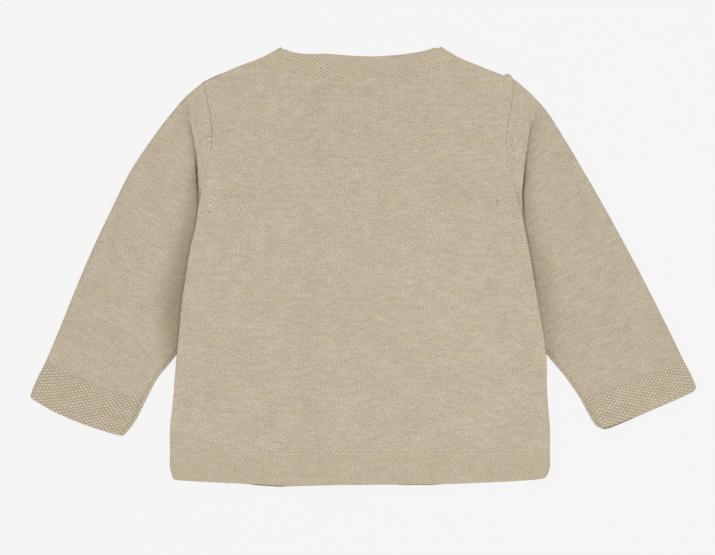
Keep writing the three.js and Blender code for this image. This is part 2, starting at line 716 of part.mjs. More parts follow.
// A round dished button, face down.
function addButton(number, { x, y }) {
  const r = BUTTON_RADIUS;
  const profile = table(
    ["radius", "z"],
    [0, 0.35], [0.55 * r, 0.35], [0.7 * r, 0], [0.94 * r, 0], [r, 0.35],
    [r, 0.8], [0.92 * r, BUTTON_THICK], [0, BUTTON_THICK],
  ).map((row) => new THREE.Vector2(row.radius, row.z));
  const mesh = add("button_" + number, new THREE.LatheGeometry(profile, BUTTON_SIDES), buttonStuff);
  mesh.rotation.x = Math.PI / 2;
  mesh.position.set(x, y, 0);
}

addBack();
addBackHem();
for (const side of ["left", "right"]) {
  addFront(side);
  addFrontHem(side);
  addSleeve(side);
  addCuff(side);
}
addNeckband();
addButtonholeBand();
addButtonBand();
buttonPlaces.forEach((place, i) => addButton(i + 1, place));

export default cardigan;
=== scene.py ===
# %% [markdown]
# # A baby cardigan, laid flat with its back upwards
#
# A cardigan is knitted as panels of plain stockinette, with bands of moss stitch round every
# free edge. Here it lies on its buttoned front, and its sleeves are pushed in under its sides.
# The measured solids come first. Each one is then covered by a finer piece of knitting that
# lies in the same place, and the stitches, the yarn and the light follow.

# %% Load the measured model
import json

import bmesh
import bpy
import numpy as np
from mathutils import Matrix, Vector

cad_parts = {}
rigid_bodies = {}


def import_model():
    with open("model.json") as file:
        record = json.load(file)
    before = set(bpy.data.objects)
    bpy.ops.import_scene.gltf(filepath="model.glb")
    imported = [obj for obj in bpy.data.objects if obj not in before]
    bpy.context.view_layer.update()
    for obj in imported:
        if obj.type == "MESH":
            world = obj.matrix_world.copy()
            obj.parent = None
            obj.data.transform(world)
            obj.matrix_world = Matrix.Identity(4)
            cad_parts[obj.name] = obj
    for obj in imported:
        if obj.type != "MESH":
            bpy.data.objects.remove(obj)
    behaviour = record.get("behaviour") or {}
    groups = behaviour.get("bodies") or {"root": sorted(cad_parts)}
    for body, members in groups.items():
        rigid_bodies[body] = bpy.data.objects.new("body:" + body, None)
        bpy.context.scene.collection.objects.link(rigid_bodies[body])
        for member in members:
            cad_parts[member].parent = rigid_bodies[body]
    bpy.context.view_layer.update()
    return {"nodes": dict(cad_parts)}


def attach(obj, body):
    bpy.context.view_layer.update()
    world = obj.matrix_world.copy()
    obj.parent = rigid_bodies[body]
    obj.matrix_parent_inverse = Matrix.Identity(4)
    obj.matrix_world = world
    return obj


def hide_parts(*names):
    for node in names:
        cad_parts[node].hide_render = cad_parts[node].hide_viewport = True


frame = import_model()
print("solids:", len(frame["nodes"]))

# %% [markdown]
# ## Sizes
#
# A knitter works in millimetres, so the sizes do too, and one factor turns them into metres
# when a piece is laid in place. A table names its columns once and then lists its rows.

# %% Sizes of the cloth and heights of its layers
MM = 0.001

CLOTH = 1.5
MOSS = 1.8
BUTTONHOLE_BAND = 2.5
BUTTON_BAND = 1.6
SEAM_GAP = 0.3
JOIN = 0.04

BACK_UNDER = 2.1
SLEEVE_TOP = 3.8
CUFF_TOP = 4.2
SLEEVE_PUFF = 0.9
SLEEVE_LIFT = SLEEVE_TOP + SEAM_GAP
OVERLAP_RISE = 2.5
RIDGE_RISE = 2.8
OVERLAP_SLOPE = 16
RIDGE_SLOPE = {"left": 22, "right": 14, "shoulder": 3}
RIDGE_END = {"from": 120, "to": 142}
TUCK = {"from": 62, "to": 112, "spread": 32, "clear": 2}
FOLD = {"foot": 48, "lip": 1.0, "lip_from": 74, "lip_to": 88}
PUFF = {"outer": 14, "inner_from": 30, "inner_to": 52, "head_from": 60, "head_to": 125, "end": 9}
SEAM_BLEND = 6
OPENING = {"x": -3, "y": 162, "half_width": 58, "depth": 44, "floor": 0.55, "rim": 0.95}


def table(columns, *rows):
    """Rows of numbers as one array for each named column."""
    values = np.array(rows, float)
    return {name: values[:, i] for i, name in enumerate(columns)}


PLACKET_WIDTH = 27
PLACKET = table(("y", "x"), (156, -8.1), (-161, -18.5))
BAND_FOOT_Y = -161.2
BAND_HEAD_Y = 102.2
HEM_SEAM_Y = -137.4
print("plain cloth and moss stitch, mm:", CLOTH, MOSS)

# %% [markdown]
# ## Outlines
#
# An outline is a short table of places, measured from the middle of the garment. A smooth curve
# joins them later, so a table has only the places where an edge bends. The edges that show are
# measured. The front's neck and the tucked edges of the sleeves follow the cut of such a knit.

# %% Outlines of the body
XY = ("x", "y")
SIDE_LEFT = table(
    XY,
    (-142.8, HEM_SEAM_Y), (-142.8, -120.8), (-141.3, -106), (-139.9, -91.2), (-137.6, -63.1),
    (-133.9, -24.6), (-131.7, -9.8), (-128, 13.1), (-123.6, 30.9),
)
SIDE_RIGHT = table(
    XY,
    (138.4, HEM_SEAM_Y), (138.4, -120.8), (137.3, -106), (136.2, -91.2), (135.4, -63.1),
    (131, -35.7), (126.5, -9.1), (122.8, 13.1), (119.1, 30.9),
)
ARMHOLE_LEFT = table(
    XY,
    (-123.6, 30.9), (-120.6, 49.4), (-116.2, 71.6), (-111.7, 93.8), (-114, 116), (-118.4, 136.7),
)
ARMHOLE_RIGHT = table(
    XY,
    (119.1, 30.9), (115.4, 45.7), (108, 75.3), (106.2, 91.6), (107.3, 105.6), (109.5, 116.7),
    (112.5, 138.3),
)
SHOULDER_LEFT = table(
    XY,
    (-118.4, 136.7), (-110.3, 140.8), (-105.5, 142.7), (-98, 145.9), (-89.5, 149.4),
    (-80.3, 152.8), (-72.8, 155.9),
)
SHOULDER_RIGHT = table(
    XY, (112.5, 138.3), (106.5, 140.7), (97.7, 144.1), (82.9, 150), (75.9, 152.8), (69, 156)
)
SEAM_END = {"x": 108, "half": 4.4, "height": 2.7}
NECK_SEAM_BACK = table(
    XY,
    (-72.8, 155.9), (-63.9, 147.8), (-54.8, 144.1), (-38.5, 141.2), (-4.4, 140.2), (27.4, 141.2),
    (37, 143.4), (55.9, 147.8), (65.1, 152.3), (69, 156),
)
NECK_EDGE_BACK = table(
    XY,
    (-59.8, 161.1), (-57.5, 160.9), (-53.7, 159.5), (-47, 158.1), (-38, 157.6), (-28.9, 157.9),
    (-20.4, 157.3), (-8.5, 156.4), (3.3, 155.9), (15.2, 156.2), (27, 157.1), (38.9, 158.7),
    (44.8, 159.8), (49.2, 161), (52.5, 162), (54.5, 162.2), (56.3, 161.6),
)
NECK_SEAM_FRONT = table(
    ("left", "right", "y"),
    (-72.8, 69, 155.9), (-64, 59, 133), (-49, 44, 113.5), (-28, 24, 104), (2.2, -20.8, 102.5),
)
NECK_EDGE_FRONT = table(
    ("left", "right", "y"),
    (-59.8, 56.3, 161.4), (-52, 47, 142), (-40, 35, 127), (-22, 17, 119.5), (2.2, -20.8, 118),
)
HEM_FOOT = table(
    XY,
    (-140.9, -155.6), (-137.6, -157.9), (-116.9, -159.3), (-93, -160.5), (-76.2, -161.2),
    (-62, -162.1), (-53, -162.5), (-40, -162.1), (-18, -161.5), (16.3, -161.4), (35, -161.1),
    (54, -161.1), (82.9, -160.1), (111, -158.8), (131.5, -157.1), (136.4, -154.2),
)
HEM_SIDE = {"left": -142.8, "right": 138.4, "turn_y": -148}
HEM_DIP = {
    "left": {"x": -70, "half": 13, "depth": 0.9},
    "right": {"x": 41, "half": 15, "depth": 0.6},
    "soft": 6,
}
print("width at the hem, mm:", round(SIDE_RIGHT["x"][0] - SIDE_LEFT["x"][0]))

# %% Outlines of the sleeves
SLEEVE_OUTER = {
    "left": table(
        XY,
        (-118.4, 136.7), (-131.7, 125.4), (-142.5, 112.8), (-152.4, 100), (-171.7, 71.4),
        (-186.5, 42), (-200.5, 12.4), (-213.1, -17.2), (-225, -46.8), (-234.6, -69.6),
    ),
    "right": table(
        XY,
        (112.5, 138.3), (118, 133.8), (125.8, 126.6), (135.8, 115.4), (145, 101.5), (162.8, 71.8),
        (179.8, 42.2), (196.1, 12.4), (211.6, -17.2), (226.4, -46.8), (236.8, -68.3),
    ),
}
SLEEVE_INNER = {
    "left": table(
        XY,
        (-123.6, 30.9), (-124.4, 20), (-121.6, 5), (-117.4, -10), (-117, -24), (-121.4, -40),
        (-137.6, -64.6), (-151.7, -82.3), (-160.4, -98.2),
    ),
    "right": table(
        XY,
        (119.1, 30.9), (119.9, 20), (117, 5), (112.6, -10), (112.2, -24), (116.6, -40),
        (136.2, -65.3), (148.7, -80.1), (160.2, -96.4),
    ),
}
ARMHOLE = {"left": ARMHOLE_LEFT, "right": ARMHOLE_RIGHT}
CUFF_SEAM = {
    "left": table(
        XY, (-234.6, -69.6), (-216.1, -80.1), (-197.6, -87.9), (-179.1, -94.2), (-160.4, -98.2)
    ),
    "right": table(
        XY, (236.8, -68.3), (212.8, -79.4), (196.1, -86.2), (178, -92.6), (160.2, -96.4)
    ),
}
CUFF_FOOT = {
    "left": table(
        XY,
        (-246, -94.6), (-245.6, -96.9), (-243.3, -98.8), (-227.2, -108.1), (-205.7, -117),
        (-189.4, -122.4), (-179.5, -125), (-176.3, -124.2),
    ),
    "right": table(
        XY,
        (246.5, -88.6), (246, -90.8), (243.2, -93.2), (232, -98.4), (216.8, -104.9),
        (191.7, -115.7), (179.5, -120.1), (172.8, -117.9),
    ),
}
CUFF_BEND = {
    "left": {"outer": (-242.6, -85.8), "inner": (-168, -113.4)},
    "right": {"outer": (242.8, -79.8), "inner": (168.9, -112.4)},
}
UNDERARM = table(
    ("y", "left", "right"),
    (-40, -121.4, 116.6), (-64.6, -137.6, 135.7), (-82.3, -151.7, 150.4), (-98.2, -160.7, 160.6),
    (-113.4, -168, 169.2), (-124.2, -176.3, 176),
)
FOLD_HALF = table(("y", "half"), (70, 1.6), (84, 3), (100, 7))
CREASE = table(
    ("y", "left", "right"),
    (116, -128.8, 128.8), (104, -127, 123.6), (86, -123.6, 121), (72, -122.4, 119.1),
    (55, -121.4, 117.5), (40, -122.1, 118), (30.9, -123.6, 119.1),
)
print("span over both cuffs, mm:", round(CUFF_FOOT["right"]["x"][0] - CUFF_FOOT["left"]["x"][0]))

# %% [markdown]
# ## Curves and plan patches
#
# A knitted panel is a stretchy rectangle: its stitches fill whatever outline its four edges
# give it. The same idea makes the shapes here. Four smooth edges bound a patch, and any point
# of the pattern, given by its share u across and v along, finds its place between them.
# A boundary patch like this keeps its rows and columns even, as rows of stitches are.

# %% Smooth edges and the patch between four of them
CURVE_SAMPLES = 400


def soft(a, b, t):
    """0 below a, 1 above b, and a soft step between."""
    s = np.clip((t - a) / (b - a), 0, 1)
    return s * s * (3 - 2 * s)


def column_at(rows, y, column="x"):
    """A table's column at the height y, between its rows."""
    order = np.argsort(rows["y"])
    return np.interp(y, rows["y"][order], rows[column][order])


def column_of(rows, x):
    """The height y of a table's line at x."""
    order = np.argsort(rows["x"])
    return np.interp(x, rows["x"][order], rows["y"][order])


def edge(rows, column="x"):
    """A smooth curve through a table's rows, as a function of the share of its length."""
    points = np.stack([rows[column], rows["y"]], axis=1)
    ends = np.vstack([points[:1], points, points[-1:]])
    t = np.linspace(0, len(points) - 1, CURVE_SAMPLES)
    i = np.minimum(t.astype(int), len(points) - 2)
    f = (t - i)[:, None]
    before, here, there, after = ends[i], ends[i + 1], ends[i + 2], ends[i + 3]
    slope_here = (there - before) / 2
    slope_there = (after - here) / 2
    line = (
        (2 * f**3 - 3 * f**2 + 1) * here
        + (f**3 - 2 * f**2 + f) * slope_here
        + (3 * f**2 - 2 * f**3) * there
        + (f**3 - f**2) * slope_there
    )
    return along(line)


def along(line):
    """A function of the share of a line's length, for a line of many points."""
    gone = np.concatenate([[0], np.cumsum(np.linalg.norm(np.diff(line, axis=0), axis=1))])
    shares = gone / gone[-1]

    def point(t):
        t = np.clip(t, 0, 1)
        return np.stack([np.interp(t, shares, line[:, k]) for k in range(line.shape[1])], axis=-1)

    return point


def straight(start, stop):
    """A straight edge."""
    return along(np.array([start, stop], float))


def joined(first, share, second):
    """Two edges end to end, the first over the given share of the way."""

    def point(t):
        t = np.asarray(t, float)
        a, b = first(t / share), second((t - share) / (1 - share))
        return np.where((t < share)[..., None], a, b)

    return point


def flipped(way):
    """An edge run the other way."""
    return lambda t: way(1 - t)


def stretch(way, start, stop):
    """The part of an edge between two shares."""
    return lambda t: way(start + (stop - start) * t)


def moved(way, x, y):
    """An edge moved in plan."""
    return lambda t: way(t) + (x, y)


def patch(foot, head, left, right):
    """A plan surface stretched between four edges."""
    p00, p10, p01, p11 = foot(0.0), foot(1.0), head(0.0), head(1.0)

    def plan(u, v):
        a, b = u[..., None], v[..., None]
        return (
            foot(u) * (1 - b) + head(u) * b + left(v) * (1 - a) + right(v) * a
            - p00 * (1 - a) * (1 - b) - p10 * a * (1 - b) - p01 * (1 - a) * b - p11 * a * b
        )

    return plan


def span(plan, start, stop):
    """The distance between two points of a plan, given as (u, v)."""
    a, b = (plan(np.array(float(u)), np.array(float(v))) for u, v in (start, stop))
    return float(np.linalg.norm(b - a))


print("the left side seam ends at:", edge(SIDE_LEFT)(1.0))

# %% [markdown]
# ## The lie of the layers
#
# Cloth that lies on cloth takes the shape of what is below it, softened by its own thickness.
# So each height here is a function of the place in plan: the sides climb over the tucked
# sleeves, the middle over the doubled front bands, and the back sinks through the front neck.
# Two more functions shape the fold at the crease, where a sleeve turns under the body.

# %% Heights of the layers
def placket_edges(y):
    """The two edges of the overlapped bands at a height y."""
    middle = column_at(PLACKET, y)
    return middle - PLACKET_WIDTH / 2, middle + PLACKET_WIDTH / 2


def inner_table(side):
    """The armhole and the tucked edge of a sleeve as one table."""
    return {k: np.concatenate([ARMHOLE[side][k], SLEEVE_INNER[side][k]]) for k in XY}


def tuck_lift(x, y):
    """Lift of the body over the tucked part of the sleeves."""
    inwards = np.where(
        x < column_at(PLACKET, y),
        x - column_at(inner_table("left"), y),
        column_at(inner_table("right"), y) - x,
    )
    near = 1 - soft(TUCK["clear"], TUCK["clear"] + TUCK["spread"], inwards)
    return SLEEVE_LIFT * near * (1 - soft(TUCK["from"], TUCK["to"], y))


def overlap_rise(x, y):
    """Rise of the left front, whose band lies on top of the other one."""
    left, _ = placket_edges(y)
    return OVERLAP_RISE * soft(left - OVERLAP_SLOPE, left, x)


def ridge(x, y):
    """Ridge that the two bands raise under the back."""
    left, right = placket_edges(y)
    up = soft(left - RIDGE_SLOPE["left"], left - 1, x)
    down = 1 - soft(right + RIDGE_SLOPE["shoulder"], right + RIDGE_SLOPE["right"], x)
    return RIDGE_RISE * up * down * (1 - soft(RIDGE_END["from"], RIDGE_END["to"], y))


def sink(x, y):
    """Share by which the back sinks through the front neck opening."""
    across = (x - OPENING["x"]) / OPENING["half_width"]
    along_body = (y - OPENING["y"]) / OPENING["depth"]
    return 1 - soft(OPENING["floor"], OPENING["rim"], np.hypot(across, along_body))


def back_under(x, y):
    return BACK_UNDER * (1 - sink(x, y)) + ridge(x, y) + tuck_lift(x, y)


def left_under(x, y):
    return overlap_rise(x, y) + tuck_lift(x, y)


FRONT_UNDER = {"left": left_under, "right": tuck_lift}


def level(z):
    """The same height everywhere."""
    return lambda x, y: z + 0 * x


def outside_crease(side, x, y):
    """How far a place lies outwards of a sleeve's crease."""
    return (column_at(CREASE, y, side) - x) * (1 if side == "left" else -1)


def fold_share(side, x, y):
    """Share of the fold's height at a place: full between armhole and crease, none outside."""
    half = column_at(FOLD_HALF, y, "half")
    down = soft(-half, half, outside_crease(side, x, y))
    fade = (1 - soft(TUCK["from"], TUCK["to"], y)) * soft(FOLD["foot"], TUCK["from"], y)
    return (1 - down) * fade, down, fade


def fold_shift(side, x, y):
    """Sideways push that makes the crease's lip overhang: its top outwards, its foot inwards."""
    _, down, fade = fold_share(side, x, y)
    out = -1 if side == "left" else 1
    lip = FOLD["lip"] * (1 - soft(FOLD["lip_from"], FOLD["lip_to"], y))
    return out * lip * fade * np.sin(2 * np.pi * down)


def sleeve_top(side):
    """Height of a sleeve's upper layer at a place and its distances from the sleeve's edges."""

    def height(x, y, from_outer, from_inner, from_head, to_end):
        fold, _, _ = fold_share(side, x, y)
        across = soft(0, PUFF["outer"], from_outer)
        across = across * soft(PUFF["inner_from"], PUFF["inner_to"], from_inner)
        puff = across * (1 - soft(PUFF["head_from"], PUFF["head_to"], y))
        end = 1 - soft(0, PUFF["end"], to_end)
        puffed = SLEEVE_TOP + SLEEVE_PUFF * puff
        laid = puffed * (1 - end) + CUFF_TOP * end + SLEEVE_LIFT * fold
        at_seam = 1 - soft(0, SEAM_BLEND, from_head)
        return laid + (back_under(x, y) + CLOTH - laid) * at_seam

    return height


print("the back's inside lies over the bands at, mm:", back_under(column_at(PLACKET, 0), 0))

# %% [markdown]
# ## From a flat slab to a laid panel
#
# Every panel, band and tube starts as a slab in pattern space: a grid made by one operator,
# extruded upwards by another. Its u and v run from 0 to 1 and its w is 0 inside and 1 on the
# face. Then each point is laid in its place, and the pattern's own measure, in metres, becomes
# the UV map.
# Grid lines crowd together at the rims, where a knit edge rounds over.

# %% The slab and its crowded lines
RIM_STEPS = (0, 0.25, 0.7, 1.4)


def slab(columns, rows):
    """A slab of one layer of cells in pattern space."""
    bm = bmesh.new()
    bmesh.ops.create_grid(bm, x_segments=columns, y_segments=rows, size=0.5)
    bmesh.ops.translate(bm, verts=bm.verts, vec=(0.5, 0.5, 0))
    raised = bmesh.ops.extrude_face_region(bm, geom=bm.faces[:], use_keep_orig=True)
    top = [item for item in raised["geom"] if isinstance(item, bmesh.types.BMVert)]
    bmesh.ops.translate(bm, verts=top, vec=(0, 0, 1))
    return bm


def crowded(share, count, length):
    """Even shares moved so that the lines near both ends stand at the rim's steps."""
    lines = np.linspace(0, 1, count + 1)
    near = len(RIM_STEPS)
    lines[:near] = np.array(RIM_STEPS) / length
    lines[-near:] = 1 - lines[:near][::-1]
    lines[near:-near] = np.linspace(lines[near - 1], lines[-near], count + 3 - 2 * near)[1:-1]
    return np.interp(share * count, np.arange(count + 1), lines)


print("lines of a 20 mm strip, mm:", np.round(20 * crowded(np.linspace(0, 1, 13), 12, 20), 1))

# %% [markdown]
# ## Laying a piece
#
# One function finishes every panel, band and tube. It moves the pattern's points to their
# places, closes the seams of the slab, keeps notes for the material on the points and marks the
# hard edges by their angle. Then it says which body carries the piece and which measured solid
# it hides. The last function rounds a face towards its rims.

# %% Lay and finish a piece
RIM_RADIUS = 1.3
JOIN_RADIUS = 0.02
FREE_RIMS = (RIM_RADIUS,) * 4
SHARP_ANGLE = 70
WELD = 0.01


def finish_piece(bm, name, place, material, node, slot, **notes):
    """Lays a slab's points, gives it its map, material and body, and hides the solid it covers."""
    mesh = bpy.data.meshes.new(name)
    bm.to_mesh(mesh)
    bm.free()
    count = len(mesh.vertices)
    pattern = np.empty(count * 3)
    mesh.vertices.foreach_get("co", pattern)
    pattern = pattern.reshape(-1, 3)
    laid, measure = place(*pattern.T)
    mesh.vertices.foreach_set("co", (laid * MM).ravel())
    corners = np.empty(len(mesh.loops), int)
    mesh.loops.foreach_get("vertex_index", corners)
    uv = mesh.uv_layers.new(name="Pattern")
    uv.data.foreach_set("uv", (corner_map(mesh, corners, measure) * MM).ravel())
    weld(mesh)
    for label, share in notes.items():
        store_share(mesh, label, share)
    mesh.polygons.foreach_set("use_smooth", np.ones(len(mesh.polygons), bool))
    mesh.set_sharp_from_angle(angle=np.radians(SHARP_ANGLE))
    mesh.materials.append(material)
    piece = bpy.data.objects.new(name, mesh)
    bpy.context.scene.collection.objects.link(piece)
    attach(piece, "root")
    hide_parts(node)
    triangles = sum(len(p.vertices) - 2 for p in mesh.polygons)
    cloth = sum(p.area for p in mesh.polygons) / 2
    print(f"{name}: {triangles} triangles, {cloth:.4f} square metres of cloth")
    return piece


def weld(mesh):
    """Joins points that lie together and turns the faces outwards."""
    bm = bmesh.new()
    bm.from_mesh(mesh)
    bmesh.ops.remove_doubles(bm, verts=bm.verts, dist=WELD * MM)
    bmesh.ops.recalc_face_normals(bm, faces=bm.faces)
    bm.to_mesh(mesh)
    bm.free()
    mesh.update()


def corner_map(mesh, corners, measure):
    """The map at each face corner. A face outside a crease takes the second of two maps."""
    if measure.shape[1] == 2:
        return measure[corners]
    near, far, outside = measure[:, 0:2], measure[:, 2:4], measure[:, 4]
    sizes = np.empty(len(mesh.polygons), int)
    mesh.polygons.foreach_get("loop_total", sizes)
    face = np.repeat(np.arange(len(sizes)), sizes)
    is_far = np.bincount(face, outside[corners])[face] > 0
    return np.where(is_far[:, None], far[corners], near[corners])


def store_share(mesh, label, share):
    """Keeps a share that depends on the place in plan on the points of a mesh."""
    count = len(mesh.vertices)
    points = np.empty(count * 3)
    mesh.vertices.foreach_get("co", points)
    x, y, _ = points.reshape(-1, 3).T / MM
    mesh.attributes.new(label, "FLOAT", "POINT").data.foreach_set("value", share(x, y))


def rim_fall(distances, radii):
    """How far a face falls towards its rims, each rounded with its own radius."""
    falls = []
    for inside, radius in zip(distances, radii):
        t = np.clip(1 - inside / radius, 0, 1)
        falls.append(radius * (1 - np.sqrt(1 - t * t)))
    return np.maximum.reduce(falls)


print("fall of a free edge at its rim, mm:", rim_fall((0.0,), (RIM_RADIUS,)))

# %% [markdown]
# ## Moss stitch
#
# In moss stitch, knit and purl stitches change places at every stitch and every row, so purl
# bumps stand out like grains, each between four hollows. The product of two cosines has just
# this pattern of peaks. On the neckband, the cuffs and the back's hem it moves the points of
# the mesh itself, because the grains show in the outline of the edges, and the same product
# later paints shade into the hollows and light onto the grains.

# %% The height of moss stitch
MOSS_STITCH = 1.8
MOSS_ROW = 0.92
MOSS_HEIGHT = 0.36
HOLLOW = -0.25


def moss(across, along_rows):
    """Height of the grains, from 0 in a hollow to 1 on a grain."""
    wave = np.cos(np.pi * across / MOSS_STITCH) * np.cos(np.pi * along_rows / MOSS_ROW)
    return (np.clip(wave, HOLLOW, 1) - HOLLOW) / (1 - HOLLOW)


print("a grain and the hollow beside it:", moss(0, 0), moss(MOSS_STITCH, 0))

# %% [markdown]
# ## Where the light is kept out
#
# Cloth gets less light beside a higher layer, along a seam and in a wide dent. The lamp shows
# only a part of this on smooth walls, because the fuzz of real yarn swallows more light. The
# rest is noted on the points, as a share of light lost. The shares were found by comparing the
# brightness with that of the real garment, and a share below 0 makes a place lighter.

# %% Tables of light lost
BESIDE_BODY = table(
    ("y", "left", "left_reach", "right", "right_reach"),
    (128, 0.04, 8, 0.04, 10), (101, 0.19, 9, 0.21, 12), (78, 0.22, 8, 0.22, 11),
    (64, 0.30, 11, 0.26, 11), (31, 0.30, 18, 0.20, 15), (-25, 0.36, 27, 0.22, 22),
    (-55, 0.33, 20, 0.20, 18), (-90, 0.16, 12, 0.10, 12),
)
CREASE_LINE = {"inset": 0.8, "half": 0.9}
CREASE_SHARE = table(
    ("y", "left", "right"),
    (112, 0, 0), (100, 0.20, 0.17), (82, 0.25, 0.20), (73, 0.60, 0.42), (64, 0.50, 0.55),
    (55, 0.40, 0.55), (46, 0.20, 0.45), (37, 0.05, 0.38), (28, 0, 0.25), (-7, 0, 0.22),
    (-16, 0, 0.10), (-26, 0, 0),
)
# A little painted shade over each whole sleeve beyond its crease and over the left cuff; the right
# cuff gets a little painted light.
SLEEVE_SHARE = {"left": 0.022, "right": 0.045, "from": 12}
CUFF_SHARE = {"left": 0.015, "right": -0.01}
UNDERARM_SEAM = {"inset": 2.7, "half": 0.6, "depth": 0.35, "share": 0.14, "slope": 0.83}
DENTS = table(
    ("x", "y", "wide", "high", "share"),
    (-87, 53, 27, 5, 0.05), (84, 53, 21, 5, 0.05), (-87, 133, 16, 8, 0.04), (75, 133, 8, 8, 0.045),
    (-30, -40, 30, 12, 0.015), (60, -10, 22, 30, -0.015), (95, -70, 30, 40, -0.02),
    (0, 105, 90, 40, 0.02),
)
SHOULDER_LINE = {"from": -119, "to": -105, "half": 0.6, "share": 0.6}
HEM_ROW = {"below": 1.0, "half": 0.7, "share": -0.06}
CUFF_OPENING = {"from": 178, "to": 200, "reach": 0.9, "share": 0.45}
UNDER_HEM = {"share": 0.65, "reach": 0.9}
print("dents:", len(DENTS["x"]))

# %% Light lost on a sleeve and a cuff


def body_edge(side, y):
    """The body's visible edge beside a sleeve: the crease above, the side seam below."""
    rows = SIDE_LEFT if side == "left" else SIDE_RIGHT
    return np.where(y > CREASE["y"].min(), column_at(CREASE, y, side), column_at(rows, y))


def sleeve_shade(side):
    """Light lost on a sleeve: beside the body, along its underarm seam, and a little painted shade
    over the sleeve beyond its crease.
    """
    sign = -1 if side == "left" else 1

    def share(x, y):
        beside = np.maximum(0, (x - body_edge(side, y)) * sign)
        reach = column_at(BESIDE_BODY, y, f"{side}_reach")
        lost = column_at(BESIDE_BODY, y, side) * (1 - soft(0, reach, beside))
        lost = (lost + crease_line(side, beside, y)) * ((x - body_edge(side, y)) * sign > 0)
        inside = (x - column_at(UNDERARM, y, side)) * sign * UNDERARM_SEAM["slope"]
        line = bell(inside, UNDERARM_SEAM["inset"], UNDERARM_SEAM["half"])
        lost = lost + UNDERARM_SEAM["share"] * line * (y < UNDERARM["y"].max())
        return lost + SLEEVE_SHARE[side] * soft(0, SLEEVE_SHARE["from"], outside_crease(side, x, y))

    return share


def bell(t, middle, half):
    """A soft peak of height 1 around a middle."""
    return np.exp(-(((t - middle) / half) ** 2))


def crease_line(side, beside, y):
    """The dark line at the foot of the crease and of the body's edge, where cloth overhangs."""
    line = bell(beside, CREASE_LINE["inset"], CREASE_LINE["half"])
    return column_at(CREASE_SHARE, y, side) * line


def cuff_shade(side):
    """Light lost on a cuff: as on its sleeve, a little over the whole cuff, and where the right one
    opens a little.
    """
    on_sleeve = sleeve_shade(side)

    def share(x, y):
        opened = (x > CUFF_OPENING["from"]) & (x < CUFF_OPENING["to"])
        opened = opened & (y - column_of(CUFF_FOOT["right"], x) < CUFF_OPENING["reach"])
        return on_sleeve(x, y) + CUFF_SHARE[side] + CUFF_OPENING["share"] * opened

    return share


print("lost on the left sleeve, beside the body:", sleeve_shade("left")(np.array(-134), -24.6))

# %% Light lost on the back and the hems


def back_shade(x, y):
    """Light lost on the back: wide dents, and the shoulder seam that shows at the left edge."""
    lost = 0 * x
    for dx, dy, wide, high, share in zip(*DENTS.values()):
        lost = lost + share * np.exp(-(((x - dx) / wide) ** 2) - ((y - dy) / high) ** 2)
    line = bell(column_of(SHOULDER_LEFT, x), y, SHOULDER_LINE["half"])
    along_line = (x > SHOULDER_LINE["from"]) & (x < SHOULDER_LINE["to"])
    return lost + SHOULDER_LINE["share"] * line * along_line


def dip_share(side, x):
    """Share of a front hem's dip at x: 1 where the hem shows below the back's, 0 elsewhere."""
    dip = HEM_DIP[side]
    off = np.abs(x - dip["x"])
    return 1 - soft(dip["half"] - HEM_DIP["soft"], dip["half"] + HEM_DIP["soft"], off)


def under_hem_shade(x, y):
    """A front hem lies in the shadow of the back's where it shows below it."""
    near_foot = 1 - soft(0, UNDER_HEM["reach"], y - column_of(HEM_FOOT, x))
    return UNDER_HEM["share"] * near_foot * np.maximum(dip_share("left", x), dip_share("right", x))


def hem_shade(x, y):
    """The row of moss stitch beside the plain knit is a little lighter."""
    return HEM_ROW["share"] * bell(y, HEM_SEAM_Y - HEM_ROW["below"], HEM_ROW["half"])


print("lost in the middle of the back's first dent:", back_shade(DENTS["x"][:1], DENTS["y"][:1]))

# %% [markdown]
# ## Yarn colour
#
# The yarn is a heather: fibres of several beiges and a little grey are spun together, so each
# row of stitches wanders in tone. Long flat mottles follow the rows, broad clouds lie under
# them, specks stand for single fibres, and a slow drift goes between a yellower and a bluer
# beige. One node group holds all this, so that every knit gets the same yarn.

# %% Helpers for node groups
LIGHT_PULL = (1.0, 1.07, 1.23)


def new_group(name, inputs, outputs):
    """An empty shader group with typed inputs and outputs."""
    group = bpy.data.node_groups.new(name, "ShaderNodeTree")
    for label, kind, value in inputs:
        socket = group.interface.new_socket(label, in_out="INPUT", socket_type=kind)
        if value is not None:
            socket.default_value = value
    for label, kind in outputs:
        group.interface.new_socket(label, in_out="OUTPUT", socket_type=kind)
    return group, group.nodes.new("NodeGroupInput"), group.nodes.new("NodeGroupOutput")


def calc(tree, operation, *values):
    """A Math node whose inputs are sockets or numbers, and its result."""
    node = tree.nodes.new("ShaderNodeMath")
    node.operation = operation
    for socket, value in zip(node.inputs, values):
        if isinstance(value, (int, float)):
            socket.default_value = value
        else:
            tree.links.new(value, socket)
    return node.outputs[0]


def weighted(tree, *terms):
    """The sum of terms, each a socket, its weight and the middle that counts as nothing."""
    total = None
    for socket, weight, middle in terms:
        centred = calc(tree, "SUBTRACT", socket, middle)
        part = calc(tree, "MULTIPLY", centred, weight)
        total = part if total is None else calc(tree, "ADD", total, part)
    return total


def mix_colour(tree, factor, a, b, blend="MIX"):
    """A colour Mix node whose inputs are sockets or values, and its result."""
    node = tree.nodes.new("ShaderNodeMix")
    node.data_type = "RGBA"
    node.blend_type = blend
    for socket, value in zip((node.inputs[0], node.inputs[6], node.inputs[7]), (factor, a, b)):
        if isinstance(value, (int, float, tuple)):
            socket.default_value = value
        else:
            tree.links.new(value, socket)
    return node.outputs[2]


def light_of(tree, value):
    """A factor for a colour: fibres in more light look paler and not only brighter."""
    node = tree.nodes.new("ShaderNodeCombineColor")
    for socket, pull in zip(node.inputs, LIGHT_PULL):
        tree.links.new(calc(tree, "MULTIPLY_ADD", value, pull, 1 - pull), socket)
    return node.outputs[0]


